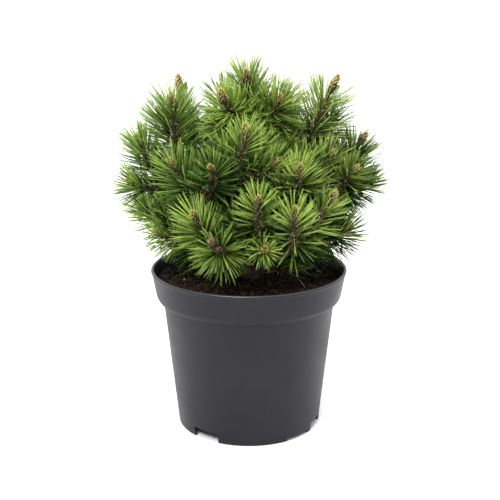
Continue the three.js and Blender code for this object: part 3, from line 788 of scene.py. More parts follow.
class MUGO_OT_pot(bpy.types.Operator):
    """Spin the pot's wall, rim band and raised floor, and cut its drain slots"""

    bl_idname = "mugo.pot"
    bl_label = "Pot"

    def execute(self, context):
        pot = settings("pot")
        band_turn = pot.height - pot.band_depth
        band_edge = pot.height - pot.band_foot
        floor_top = pot.floor + FLOOR_THICKNESS
        foot_inside = pot.foot_radius - pot.wall - 1 * MM
        profile = (
            (0.0, 0.0),
            (pot.boss_radius, 0.0),
            (pot.boss_radius + 2.5 * MM, pot.floor),
            (foot_inside - 0.4 * MM, pot.floor),
            (foot_inside, 0.0),
            (pot.foot_radius - 1.2 * MM, 0.0),
            (pot.foot_radius, 1.2 * MM),
            (pot.foot_radius + 0.10 * MM, 2.2 * MM),
            (pot.shoulder_radius, band_edge - 1.0 * MM),
            (pot.shoulder_radius + 0.3 * MM, band_edge),
            (pot.shoulder_radius + 1.6 * MM, band_edge + 0.6 * MM),
            (pot.band_radius - 2.0 * MM, band_turn - 4.0 * MM),
            (pot.band_radius - 0.8 * MM, band_turn - 2.2 * MM),
            (pot.band_radius, band_turn),
            (pot.rim_radius - 1.1 * MM, pot.height - 3.6 * MM),
            (pot.rim_radius - 0.5 * MM, pot.height - 2.5 * MM),
            (pot.rim_radius, pot.height - 1.3 * MM),
            (pot.rim_radius - 0.8 * MM, pot.height),
            (pot.rim_radius - pot.lip, pot.height),
            (pot.rim_radius - pot.lip - 0.6 * MM, pot.height - 1.2 * MM),
            (pot.band_radius - pot.wall, band_turn),
            (pot.shoulder_radius - pot.wall, band_edge + 1.5 * MM),
            (inside_radius(floor_top), floor_top),
            (0.0, floor_top),
        )
        bm = spun(profile, 144, soft_corners=range(9, 22), soft=0.5 * MM)
        # The lip's top gets a lighter finish: wear, and a painted highlight along the lip.
        for face in bm.faces:
            if face.calc_center_median().z > pot.height - 0.7 * MM:
                face.material_index = 1
        plastic = pot_plastic()
        lip = plain("pot_lip_wear_and_painted_highlight", mix(pot.colour, pot.worn_and_lip_highlight_colour, 0.55), 0.38)
        piece = bmesh_piece("nursery_pot", bm, [plastic, lip])
        cutter = self.slot_cutters(pot)
        cut = piece.modifiers.new("drain_slots", "BOOLEAN")
        cut.operation = "DIFFERENCE"
        cut.solver = "EXACT"
        cut.object = cutter
        depsgraph = context.evaluated_depsgraph_get()
        mesh = bpy.data.meshes.new_from_object(piece.evaluated_get(depsgraph))
        piece.modifiers.clear()
        piece.data = mesh
        bpy.data.objects.remove(cutter)
        mesh.set_sharp_from_angle(angle=SHARP)
        finish_piece(piece, "pot", "pot")
        return {"FINISHED"}

    @staticmethod
    def slot_cutters(pot):
        width = 2 * pot.foot_radius * math.sin(pot.slot_sweep / 2)
        bm = bmesh.new()
        for bearing, height in ((b + half, h) for b, h in SLOTS for half in (0, 180)):
            made = bmesh.ops.create_cube(bm, size=1.0)["verts"]
            bmesh.ops.scale(bm, vec=(12 * MM, width, 2 * height * MM), verts=made)
            bmesh.ops.translate(bm, vec=(pot.foot_radius, 0.0, 0.0), verts=made)
            turn = Matrix.Rotation(math.radians(bearing), 3, "Z")
            bmesh.ops.rotate(bm, cent=(0, 0, 0), matrix=turn, verts=made)
        return bmesh_piece("slot_cutters", bm)


# ---------------------------------------------------------------- soil


SOIL_FIT = 0.4 * MM  # the mix stands this far off the pot
SURFACE_RINGS, SURFACE_STEPS = 64, 176
# Sizes of the lumps, as (waves a metre, share of the relief, place in the noise).
LUMPS = ((32.0, 0.55, 0.3), (95.0, 0.5, 2.3), (330.0, 0.22, 5.1))
# Fertiliser pellets that show: (x, y) in millimetres. Each is a little smaller than the one before.
PELLETS = ((-61.6, -14.0), (-56.7, -13.6), (41.0, 52.0), (-22.0, 66.0), (63.0, 33.0))
FIBRE_LENGTHS, FIBRE_WIDTHS = (3, 11), (0.3, 1.0)  # in millimetres, as are the next four lines
PALE_NEEDLE = (47.4, -12.2, 55.2, -43.9)  # the one dead needle in front: its foot and its point
DEAD_FROM, DEAD_REACH = (30, 72), 76  # how far out others start, and where none reaches
DEAD_LENGTHS = (20, 34)
DEAD_WIDTH = 0.9
DEAD_NEEDLES = 9  # tries for more at the back
DARK, BROWN, FIBRE, PELLET, DEAD, BARK = range(6)  # the litter's materials
SMALLEST_CRUMB, CRUMB_GROWTH, FEW_LARGE = 0.3 * MM, 3.4 * MM, 3.2  # the last is a power
CRUMB_KINDS = (0.62, 0.97)  # most crumbs are dark, many brown, and a few are bark


def soil_height(x, y):
    """The growing mix's surface: a low rise to the trunk, with lumps of several sizes."""
    soil = settings("soil")
    share = min(1.0, math.hypot(x, y) / settings("pot").band_radius)
    lumps = sum(part * noise.noise(Vector((x, y, layer)) * waves) for waves, part, layer in LUMPS)
    return lerp(soil.top, soil.edge, share) + soil.relief * lumps


class MUGO_OT_soil(bpy.types.Operator):
    """Fill the pot with lumpy peat, and strew crumbs, fibres, pellets and dead needles on it"""

    bl_idname = "mugo.soil"
    bl_label = "Soil"

    def execute(self, context):
        pot, soil = settings("pot"), settings("soil")
        rng = np.random.default_rng(SEED + 1)
        dark, dry = tuple(soil.colour), tuple(soil.dry_colour)
        edge_share = (soil.edge - (pot.height - pot.band_depth)) / pot.band_depth
        edge = lerp(pot.band_radius - pot.wall, pot.rim_radius - pot.lip - 0.6 * MM, edge_share) - 0.1 * MM
        floor_top = pot.floor + FLOOR_THICKNESS + 0.2 * MM
        profile = [
            (0.0, floor_top),
            (inside_radius(floor_top) - SOIL_FIT, floor_top),
            (pot.shoulder_radius - pot.wall - SOIL_FIT, pot.height - pot.band_foot + 2.0 * MM),
            (pot.band_radius - pot.wall - SOIL_FIT, pot.height - pot.band_depth + 0.8 * MM),
            (edge - SOIL_FIT, soil.edge - 2.6 * MM),
        ]
        profile += [(edge * (1 - i / SURFACE_RINGS), soil.edge) for i in range(SURFACE_RINGS + 1)]
        bm = spun(profile, SURFACE_STEPS)
        for vert in bm.verts:
            if vert.co.z > soil.edge - 0.1 * MM:
                vert.co.z = soil_height(vert.co.x, vert.co.y)
        surface = bmesh_piece("potting_mix", bm, [peat("moist_peat", dark, mix(dark, dry, 0.5))])
        finish_piece(surface, "soil", "potting_soil")

        strewn = Parts()
        self.add_crumbs(strewn, rng, edge)
        self.add_fibres(strewn, rng, edge)
        self.add_pellets(strewn)
        self.add_dead_needles(strewn, rng)
        finishes = [
            peat("dark_crumbs", dark, mix(dark, dry, 0.4), 20.0),
            peat("brown_crumbs", mix(dark, dry, 0.4), dry, 40.0),
            plain("fibres", mix(dry, (0.36, 0.27, 0.16), 0.35), 0.85),
            plain("feed_pellets", (0.60, 0.68, 0.20), 0.5),
            plain("dead_needles", (0.58, 0.46, 0.26), 0.6),
            peat("bark_crumbs", mix(dry, (0.3, 0.18, 0.09), 0.2), mix(dry, (0.4, 0.28, 0.16), 0.5), 60.0),
        ]
        finish_piece(strewn.piece("soil_litter", finishes), "soil")
        return {"FINISHED"}

    @staticmethod
    def scatter(rng, count, edge):
        turn = rng.uniform(0, FULL_TURN, count)
        reach = np.sqrt(rng.uniform(0.02, 1.0, count)) * edge
        x, y = reach * np.cos(turn), reach * np.sin(turn)
        return x, y, np.array([soil_height(a, b) for a, b in zip(x, y)])

    def add_crumbs(self, strewn, rng, edge):
        bm = bmesh.new()
        bmesh.ops.create_icosphere(bm, subdivisions=1, radius=1.0)
        ball, faces = arrays_of(bm)
        for x, y, z in zip(*self.scatter(rng, settings("soil").crumbs, edge - 2 * MM)):
            size = rng.uniform(0.2, 1.0) ** FEW_LARGE * CRUMB_GROWTH + SMALLEST_CRUMB
            lumpy = ball * rng.uniform(0.6, 1.15, (len(ball), 1)) * rng.uniform(0.6, 1.0, 3) * size
            turn = rng.uniform(0, FULL_TURN)
            c, s = math.cos(turn), math.sin(turn)
            lumpy = lumpy @ np.array(((c, -s, 0), (s, c, 0), (0, 0, 1)))
            kind = np.searchsorted(CRUMB_KINDS, rng.random())
            strewn.add(lumpy + (x, y, z + size * 0.25), faces, (DARK, BROWN, BARK)[kind])

    def add_fibres(self, strewn, rng, edge):
        count = settings("soil").fibres
        xs, ys, zs = self.scatter(rng, count, edge - 9 * MM)
        turn = rng.uniform(0, FULL_TURN, count)
        rise = rng.uniform(-0.05, 0.35, count)
        directions = unit(np.stack((np.cos(turn), np.sin(turn), rise), axis=1))
        flats = unit(np.cross(directions, UP))
        lengths = rng.uniform(*FIBRE_LENGTHS, count) * MM
        bends = flats * (rng.normal(0, 0.22, count) * lengths)[:, None]
        bends[:, 2] -= rise * lengths
        starts = np.stack((xs, ys, zs + 0.6 * MM), axis=1)
        widths = rng.uniform(*FIBRE_WIDTHS, count) * MM
        strewn.add(*copies(
            tube_master(3, 5), starts, directions, flats, lengths, widths, 0.7, bends, narrowing(0.5)
        ), FIBRE)

    @staticmethod
    def add_pellets(strewn):
        bm = bmesh.new()
        for i, (x, y) in enumerate(PELLETS):
            made = bmesh.ops.create_icosphere(bm, subdivisions=2, radius=(1.45 - 0.1 * i) * MM)["verts"]
            x, y = x * MM, y * MM
            bmesh.ops.scale(bm, vec=(1.0, 0.92, 0.86), verts=made)
            bmesh.ops.translate(bm, vec=(x, y, soil_height(x, y) + 1.0 * MM), verts=made)
        strewn.add(*arrays_of(bm), PELLET)

    @staticmethod
    def add_dead_needles(strewn, rng):
        rows = [PALE_NEEDLE]
        for _ in range(DEAD_NEEDLES):
            turn = rng.uniform(0, FULL_TURN / 2)
            reach = rng.uniform(*DEAD_FROM)
            aim = rng.uniform(0, FULL_TURN)
            x, y = reach * math.cos(turn), reach * math.sin(turn)
            size = rng.uniform(*DEAD_LENGTHS)
            end_x, end_y = x + size * math.cos(aim), y + size * math.sin(aim)
            if math.hypot(end_x, end_y) < DEAD_REACH:
                rows.append((x, y, end_x, end_y))
        rows = np.array(rows) * MM
        starts = np.array([(x, y, soil_height(x, y) + 1.6 * MM) for x, y in rows[:, :2]])
        ends = np.array([(x, y, soil_height(x, y) + 1.6 * MM) for x, y in rows[:, 2:]])
        directions = unit(ends - starts)
        flats = unit(np.cross(directions, UP))
        lengths = np.linalg.norm(ends - starts, axis=1)
        bends = flats * (rng.normal(0, 0.07, len(rows)) * lengths)[:, None]
        widths = np.full(len(rows), DEAD_WIDTH * MM)
        strewn.add(*copies(
            tube_master(3, 5, True), starts, directions, flats, lengths, widths, 0.6, bends, needle_profile
        ), DEAD)


# ---------------------------------------------------------------- trunk, boughs and twigs


TRUNK_MESH, BOUGH_MESH, SHOOT_MESH, TWIG_MESH = (40, 110), (16, 44), (9, 40), (6, 12)  # sides and rings
TRUNK_CELLS, BOUGH_CELLS = 230.0, 420.0  # bark scales a metre
CELL_STRETCH = 0.6  # below 1, the scales are longer upwards than across
CELL_STEEPNESS, CELL_LEVEL = 2.2, 0.55  # how fast a scale rises from its edge, and what is taken off it
GRAIN, GRAIN_FINER = 0.5, 2.6  # share of the relief that is grain, and how much finer it is
BOUGH_RELIEF = 0.5  # share of the trunk's relief
TRUNK_FOOT = -0.03  # the trunk goes on below its start by this share of its length
FLARES, FLARE_RELIEF, FLARE_HEIGHT = 5, 0.16, 0.020
COLLAR, COLLAR_FADE = 0.45, 9  # how much thicker a bough is at the trunk, and how fast that fades
RIDGES, RIDGE_RELIEF, RIDGE_WIND = 5, 0.10, 900  # a shoot's ridges, and their turn in radians a metre
STEM_ENDS = (-0.02, 0.03)  # a shoot goes on into its limb and into its bud, in shares of its length
TWIG_BARK, STUB, RESIN, GREEN_STUB = range(4)  # the twigs' materials
STUB_GAP = 0.6 * MM  # stretch of a shoot for each stub
STUB_LENGTHS, STUB_WIDTHS = (1.2, 2.7), (1.1, 1.8)  # in millimetres
STUB_KINDS = (0.50, 0.68)  # half of the stubs are bare, some hold resin and the rest are green


def bark_scales(points, cells):
    """Low plates and hollows of bark at each point, from about -1 to 1."""
    out = np.empty(len(points))
    for i, (x, y, z) in enumerate(points):
        where = Vector((x, y, z * CELL_STRETCH)) * cells
        edge = noise.voronoi(where)[0]
        plate = min(1.0, (edge[1] - edge[0]) * CELL_STEEPNESS) - CELL_LEVEL
        out[i] = plate + GRAIN * noise.noise(where * GRAIN_FINER)
    return out


class MUGO_OT_limbs(bpy.types.Operator):
    """Bend the trunk and the boughs along their lines and raise the bark's scales on them"""

    bl_idname = "mugo.limbs"
    bl_label = "Trunk and boughs"

    def execute(self, context):
        wood = settings("wood")
        old = bark("old_bark", tuple(wood.bark_colour), mix(wood.bark_colour, (0.25, 0.2, 0.16), 0.45))
        trunk, boughs = Parts(), Parts()
        trunk.add(*self.rough_limb(
            trunk_path(), TRUNK_MESH, self.trunk_radius, wood.relief, TRUNK_CELLS, TRUNK_FOOT
        ))
        finish_piece(trunk.piece("pine_trunk", [old]), "bark", "trunk")
        relief = wood.relief * BOUGH_RELIEF
        for order in BOUGHS:
            boughs.add(*self.rough_limb(
                bough_path(order), BOUGH_MESH, self.bough_radius, relief, BOUGH_CELLS, 0.0
            ))
        names = ["bough_" + CROWN[order]["name"] for order in BOUGHS]
        finish_piece(boughs.piece("pine_boughs", [old]), "bark", *names)
        return {"FINISHED"}

    @staticmethod
    def rough_limb(path, mesh, radius_at, relief, cells, foot):
        smooth, _ = bent_tube(path, *mesh, radius_at, foot)
        height = bark_scales(smooth, cells) * relief
        return bent_tube(path, *mesh, lambda turn, share: radius_at(turn, share) + height, foot)

    @staticmethod
    def trunk_radius(turn, share):
        """Tapered, with root flares at the foot."""
        wood = settings("wood")
        flare = np.maximum(0.0, 1 - np.maximum(share, 0) * wood.height / FLARE_HEIGHT) ** 2
        lobes = 1 + FLARE_RELIEF * flare * np.cos(FLARES * turn)
        return (lerp(wood.base_radius, wood.tip_radius, share) + wood.flare * flare) * lobes

    @staticmethod
    def bough_radius(turn, share):
        """Tapered, with a collar at the trunk."""
        wood = settings("wood")
        collar = 1 + COLLAR * np.exp(-share * COLLAR_FADE)
        return lerp(wood.bough_radius, wood.fork_radius, share) * collar


class MUGO_OT_twigs(bpy.types.Operator):
    """Grow the shoots on from the boughs, with the stubs of shed needles on their bare parts"""

    bl_idname = "mugo.twigs"
    bl_label = "Twigs"

    def execute(self, context):
        young = tuple(settings("wood").young_colour)
        rng = np.random.default_rng(SEED + 2)
        twigs = Parts()
        for shoot in all_shoots():
            twigs.add(*self.stem(shoot), TWIG_BARK)
            self.add_stubs(twigs, shoot, rng)
        finishes = [
            bark("twig_bark", mix(young, BLACK, 0.5), young, 2.2),
            bark("stub_bark", mix(young, BLACK, 0.6), young, 2.6),
            plain("resin", (0.60, 0.54, 0.36), 0.35),
            plain("green_stubs", (0.070, 0.090, 0.018), 0.6),
        ]
        finish_piece(twigs.piece("pine_twigs", finishes), "bark")
        return {"FINISHED"}

    @staticmethod
    def stem(shoot):
        """A stem with low ridges that wind round it."""

        def radius_at(turn, share):
            ridges = RIDGE_RELIEF * np.cos(RIDGES * turn + share * shoot.path.length * RIDGE_WIND)
            return shoot.radius(np.clip(share, 0, 1)) * (1 + ridges)

        mesh = SHOOT_MESH if shoot.main else TWIG_MESH
        below, above = STEM_ENDS
        return bent_tube(shoot.path, *mesh, radius_at, below, shoot.bud_foot + above)

    @staticmethod
    def add_stubs(twigs, shoot, rng):
        """Stubs up to the bud on a main shoot, else below the needles. Some hold resin, some are green."""
        top = shoot.bud_foot if shoot.main else shoot.zone_foot + 0.1
        count = max(2, int(shoot.path.length * max(0.0, top - 0.02) / STUB_GAP * shoot.size))
        shares = np.sort(rng.uniform(0.02, top, count))
        turns = np.arange(count) * GOLDEN_ANGLE + rng.normal(0, 0.2, count)
        out, along = shoot.path.outward(shares, turns), shoot.path.along(shares)
        directions = unit(out * 0.75 + along * 0.65)
        starts = shoot.path.at(shares) + out * shoot.radius(shares)[:, None] * 0.8
        flats = unit(np.cross(directions, along))
        lengths = rng.uniform(*STUB_LENGTHS, count) * MM * shoot.size
        widths = rng.uniform(*STUB_WIDTHS, count) * MM * shoot.size
        straight = np.zeros((count, 3))
        points, faces = copies(
            tube_master(4, 1), starts, directions, flats, lengths, widths, 0.8, straight, narrowing(0.35)
        )
        finish = np.searchsorted(STUB_KINDS, rng.random(count)) + STUB
        finish[(finish == GREEN_STUB) & (shares <= shoot.old_foot)] = STUB
        twigs.add(points, faces, np.repeat(finish, len(faces) // count))


# ---------------------------------------------------------------- needles


GREEN_TONES = 6  # from fresh to deep, in a cool row and in a warm one
YELLOWED, SHEATH = 2 * GREEN_TONES, 2 * GREEN_TONES + 1
YELLOWED_SHARE = 0.007
TINTS = {"cool": np.array((0.94, 1.0, 1.06)), "warm": np.array((1.06, 1.0, 0.98))}
NEEDLE_GLOSS = (0.30, 0.42)  # roughness of the freshest and of the deepest green
NEEDLE_SHINE = (0.38, 0.12)
ALONG = (0.0, 0.3, 0.8, 1.0)
PAINTED_SHADE_ALONG = np.array((0.40, 0.10, 0.0, -0.02))  # painted shade along a needle: its green is deeper at the foot, where shade falls among the needles, and eases towards the point
PALER_POINT = np.array((0.04, 0.02, -0.08, -0.22))  # and what the broad needles add to that: a little more painted shade at the foot, and paler points
OLD_ANGLES = (16, -4)  # degrees the old needles open more, on the lowest and on the highest shoots
OLD_DEEPER, LOWER_AGE_AND_PAINTED_SHADE = 0.30, 0.28  # how much deeper old needles are, and the needles at the zone's foot, which are a little older and carry painted shade
OLD_LENGTHS, TOP_LENGTH = (0.80, 1.0), 0.84  # shares of the full length, on the old zone and under the bud
CROWDED = 0.88  # a power: below 1, more needles stand near the bud
STAYS_OPEN = 1.1  # a power: above 1, the needles close later along their zone
OPEN_FROM, OPEN_FADE = 0.48, 0.28  # cosines: where the open side begins, and how far in it is whole
SET_IN = 0.8  # a needle's foot stands at this share of the stem's radius
PAIR_SPREAD = (0.7, 3.0)  # degrees that each needle of a pair turns off the middle
CURL, SIDE_CURL = (0.0, 0.06), (-0.02, 0.025)  # shares of the length: towards the bud, and to the side
# How unevenly needles grow: their turn, length, opening in degrees and tone, and the same within a pair.
UNEVEN = {
    "turn": 0.12, "length": 0.04, "opening": 4.5, "tone": 0.19, "own_length": 0.03, "own_tone": 0.035,
}
SHEATH_WIDTH, SHEATH_LENGTHS = 1.75 * MM, (2.0, 4.0)

# What keeps the needles free: from the solids' box, a limb, the soil, the lip and the pot's inside.
BOX_SLACK, LIMB_GAP, SOIL_GAP, LIP_GAP, INSIDE_GAP = 2 * MM, 0.7 * MM, 1.5 * MM, 1.5 * MM, 5 * MM
HIGH_OVER_SOIL, LOW_OVER_SOIL, LOW_SHARE = 13, 2, 0.05  # few needles come down to the lower limit, in mm
TESTED_AT = (0.35, 0.6, 0.8, 1.0)  # shares of a needle's length
CHUNK = 4000

# Each piece of needles and the masses it stands for.
NEEDLE_PIECES = {
    "needles_front_low": ("front_left", "front_middle", "front_right"),
    "needles_sides_low": ("left_low", "right_low"),
    "needles_sides": ("left", "right"),
    "needles_front": ("centre_left", "centre_right", "centre"),
    "needles_top": ("upper_left", "upper_right", "crown_top", "back_upper"),
    "needles_back_low": ("back_right_low", "back_middle_low", "back_left_low"),
    "needles_back": ("back_right", "back_left"),
}


def needle_profile(share):
    """Width of a needle along its length: narrow foot, even blade, short point."""
    return np.interp(share, (0.0, 0.3, 0.7, 1.0), (0.72, 1.0, 0.92, 0.28))


def needle_materials():
    needles = settings("needles")
    fresh, middle, deep = np.array((needles.fresh_colour, needles.middle_colour, needles.deep_colour))
    made = []
    for hue, tint in TINTS.items():
        for i in range(GREEN_TONES):
            share = i / (GREEN_TONES - 1)
            green = lerp(fresh, middle, share * 2) if share < 0.5 else lerp(middle, deep, share * 2 - 1)
            made.append(plain(f"needle_{hue}_{i}", tuple(green * tint), lerp(*NEEDLE_GLOSS, share),
                              shine=lerp(*NEEDLE_SHINE, share)))
    made.append(plain("needle_yellowed", (0.21, 0.18, 0.05), 0.5))
    made.append(plain("needle_sheath", (0.20, 0.13, 0.07), 0.7))
    return made


class Pairs:
    """Needles, as arrays with one row a needle."""

    FIELDS = ("roots", "directions", "flats", "lengths", "bends", "tones", "owners")

    def __init__(self):
        self.rows = {field: [] for field in self.FIELDS}

    def add(self, **values):
        for field in self.FIELDS:
            self.rows[field].append(values[field])

    def joined(self):
        return {field: np.concatenate(self.rows[field]) for field in self.FIELDS}


def grow_needles(shoot, owner, rng):
    """The needles of one shoot: wide open at the foot of their zone, close and short under the bud."""
    needles = settings("needles")
    full = needles.length * shoot.needle_share
    stretch = (shoot.zone_top - shoot.zone_foot) * shoot.path.length / needles.zone
    pairs = int(needles.pairs * stretch * lerp(0.6, 1.0, shoot.size) * lerp(*BROAD_PAIRS, shoot.front))
    zones = [(shoot.zone_foot, shoot.zone_top, pairs, 0)]
    if shoot.main:
        zones.append((shoot.old_foot, shoot.zone_foot, needles.old_pairs, 1))
    grown = Pairs()
    for low, high, count, old in zones:
        if count < 1:
            continue
        rise = np.sort(rng.uniform(0, 1, count)) ** CROWDED
        share = lerp(low, high, rise)
        turn = np.arange(count) * GOLDEN_ANGLE + rng.normal(0, UNEVEN["turn"], count)
        if shoot.main:
            across = shoot.path.outward(share, turn) @ shoot.open_side
            gone = shoot.open_share * np.clip((across - OPEN_FROM) / OPEN_FADE, 0, 1)
            stay = rng.random(count) > gone
            rise, share, turn = rise[stay], share[stay], turn[stay]
            count = len(turn)
        along, out = shoot.path.along(share), shoot.path.outward(share, turn)
        if old:
            angle = np.full(count, needles.open_angle + math.radians(lerp(*OLD_ANGLES, shoot.height)))
            size = full * rng.uniform(*OLD_LENGTHS, count)
        else:
            angle = lerp(needles.open_angle, shoot.closed_angle, rise**STAYS_OPEN)
            size = full * lerp(1.0, TOP_LENGTH, rise**2) * (1 + rng.normal(0, UNEVEN["length"], count))
        angle = angle + rng.normal(0, math.radians(UNEVEN["opening"]), count)
        core = along * np.cos(angle)[:, None] + out * np.sin(angle)[:, None]
        root = shoot.path.at(share) + out * (shoot.radius(share) * SET_IN)[:, None]
        around = np.cross(core, along)
        twist = rng.uniform(0, math.pi, count)[:, None]
        flat = unit(unit(around) * np.cos(twist) + np.cross(core, unit(around)) * np.sin(twist))
        # Tone from the shoot's freshness and painted light, the needles' age, and painted shade low in the
        # zone.
        deeper_with_painted_shade = (1 - shoot.fresh) + OLD_DEEPER * old + (1 - rise) * LOWER_AGE_AND_PAINTED_SHADE
        tone = deeper_with_painted_shade + rng.normal(0, UNEVEN["tone"], count)
        for side in (-1, 1):
            spread = np.radians(rng.uniform(*PAIR_SPREAD, count))[:, None] * side
            direction = unit(core + flat * np.tan(spread))
            curl = along * rng.uniform(*CURL, count)[:, None]
            curl = curl + flat * side * rng.normal(*SIDE_CURL, count)[:, None]
            long = size * (1 + rng.normal(0, UNEVEN["own_length"], count))
            grown.add(
                roots=root,
                directions=direction,
                flats=unit(np.cross(direction, flat)),
                lengths=long,
                bends=curl * long[:, None],
                tones=tone + rng.normal(0, UNEVEN["own_tone"], count),
                owners=np.full(count, owner),
            )
    return grown.joined()


def keep_free(grown, shoots):
    """Drops the needles that would touch a limb, the soil or the pot, or leave the crown's reach."""
    pot, soil, wood = settings("pot"), settings("soil"), settings("wood")
    limbs = [(trunk_path(), wood.base_radius, -1)]
    limbs += [(bough_path(order), wood.bough_radius, -1) for order in BOUGHS]
    limbs += [(shoot.path, shoot.base_radius, i) for i, shoot in enumerate(shoots) if shoot.main]
    pieces = [line_pieces(path, 8) for path, _, _ in limbs]
    starts, ends = (np.concatenate(points) for points in zip(*pieces))
    radii = np.repeat([radius for _, radius, _ in limbs], 8)
    owners = np.repeat([owner for _, _, owner in limbs], 8)
    keep = np.ones(len(grown["roots"]), bool)
    low, high = np.array(CAD_BOX[0]) - BOX_SLACK, np.array(CAD_BOX[1]) + BOX_SLACK
    lucky = np.random.default_rng(SEED + 6).random(len(keep)) >= 1 - LOW_SHARE
    lowest = soil.top + np.where(lucky, LOW_OVER_SOIL, HIGH_OVER_SOIL) * MM
    for part in TESTED_AT:
        points = (grown["roots"] + grown["directions"] * (grown["lengths"] * part)[:, None]
                  + grown["bends"] * part**2)
        reach = np.hypot(points[:, 0], points[:, 1])
        over_soil = (points[:, 2] > soil.top + SOIL_GAP) & (reach < pot.rim_radius - pot.lip - INSIDE_GAP)
        keep &= (points[:, 2] > pot.height + LIP_GAP) | over_soil
        keep &= ((points > low) & (points < high)).all(axis=1)
        keep &= points[:, 2] > lowest
        for first in range(0, len(points), CHUNK):
            chunk = slice(first, first + CHUNK)
            apart = distances(points[chunk], starts, ends) - radii
            own = grown["owners"][chunk, None] == owners[None]
            keep[chunk] &= (np.where(own, 1.0, apart) > LIMB_GAP).all(axis=1)
    return {field: values[keep] for field, values in grown.items()}


class MUGO_OT_needles(bpy.types.Operator):
    """Set the needles in pairs round every shoot, and deal out their greens by shoot"""

    bl_idname = "mugo.needles"
    bl_label = "Needles"

    def execute(self, context):
        shoots = all_shoots()
        rng = np.random.default_rng(SEED + 3)
        grown = Pairs()
        for owner, shoot in enumerate(shoots):
            grown.add(**grow_needles(shoot, owner, rng))
        grown = keep_free(grown.joined(), shoots)
        finishes = needle_materials()
        masses = np.array([shoots[i].mass for i in grown["owners"]])
        for name, members in NEEDLE_PIECES.items():
            chosen = np.isin(masses, members)
            part = {field: values[chosen] for field, values in grown.items()}
            nodes = ["foliage_" + mass for mass in members]
            finish_piece(self.needle_piece(name, part, finishes, rng), "needles", *nodes)
        return {"FINISHED"}

    @staticmethod
    def needle_piece(name, part, finishes, rng):
        parts = Parts()
        count = len(part["roots"])
        front, warm = np.array([(shoot.front, shoot.warm) for shoot in all_shoots()])[part["owners"]].T
        widths = settings("needles").width * rng.uniform(0.85, 1.12, count) * lerp(*BROAD_WIDTH, front)
        blade = tube_master(3, 3)
        roots, directions, flats = (part[field] for field in ("roots", "directions", "flats"))
        points, faces = copies(
            blade, roots, directions, flats, part["lengths"], widths, 0.75, part["bends"], needle_profile
        )
        along = blade[1][blade[3]].mean(axis=1)
        # Painted shade at each needle's foot; paler points on the broad needles.
        paler = front[:, None] * np.interp(along, ALONG, PALER_POINT)
        deeper_with_painted_shade = np.interp(along, ALONG, PAINTED_SHADE_ALONG) + paler
        tones = (np.clip(part["tones"][:, None] + deeper_with_painted_shade, 0, 0.999) * GREEN_TONES).astype(int)
        tones[rng.random(count) < warm] += GREEN_TONES
        tones[rng.random(count) < YELLOWED_SHARE] = YELLOWED
        parts.add(points, faces, tones.ravel())

        roots, directions, flats = roots[::2], directions[::2], flats[::2]
        count = len(roots)
        lengths = rng.uniform(*SHEATH_LENGTHS, count) * MM
        widths = np.full(count, SHEATH_WIDTH)
        straight = np.zeros((count, 3))
        parts.add(*copies(
            tube_master(3, 1), roots, directions, flats, lengths, widths, 1.0, straight, narrowing(0.25)
        ), SHEATH)
        return parts.piece(name, finishes)


# ---------------------------------------------------------------- buds


HEART_WOOD, FOOT_SCALE, SCALE, LIGHT_SCALE, FRINGE, YOUNG_SCALE, YOUNG_FRINGE = range(7)  # materials
YOUNG_BUDS = 0.8  # share of greenish scales on the buds of the plant's front
SIDE_TWIG_SCALES, SIDE_BUD_SCALES, CANDLE_SCALES = 12, 14, 1.4
LEVELS, BROWN_LEVELS = (0.34, 0.80), (0.5, 0.85)  # shares of a bud where its colours change
UNEVEN_LEVEL, DROOP_PAINTED_SHADE = 0.14, 0.25  # what chance does to them, and the painted shade that darkens a drooping bud
FRINGED, DROOP_FRINGE_PAINTED_SHADE = (0.62, 1.0), 0.55  # share of fringed scales from foot to tip, and the share of pale fringes that painted shade takes from a drooping bud
CORE_WIDTH, SCALE_FEET = 0.82, 0.72  # shares of a bud's thickness
SCALE_TILT, UNEVEN_TILT = (30, 14), 8  # degrees that scales stand off a bud, from its foot to its tip
SCALE_LENGTH, LONGEST_SCALE = 0.30, 4.2 * MM  # share of the bud's length, and the limit
SCALE_LENGTHS, SCALE_WIDTHS, SCALE_CURL = (0.9, 1.25), (0.8, 1.1), (0.02, 0.28)
SCALE_WIDTH = 0.47  # share of the bud's radius
FRINGE_FROM = 0.55  # share of a scale where its papery end begins
SIDE_BUD_LENGTHS, SIDE_BUD_RADIUS = (0.42, 0.62), 0.62  # shares of the bud that they stand round


def bud_outline(share):
    """Thickness of a bud along its length, as a share of its thickest."""
    return np.interp(share, (0.0, 0.15, 0.45, 0.8, 1.0), (0.72, 0.92, 1.0, 0.82, 0.42))


def scale_outline(share):
    """Width of a bud's scale along its length."""
    return np.interp(share, (0, 0.35, 0.8, 1), (0.8, 1.0, 0.6, 0.0))


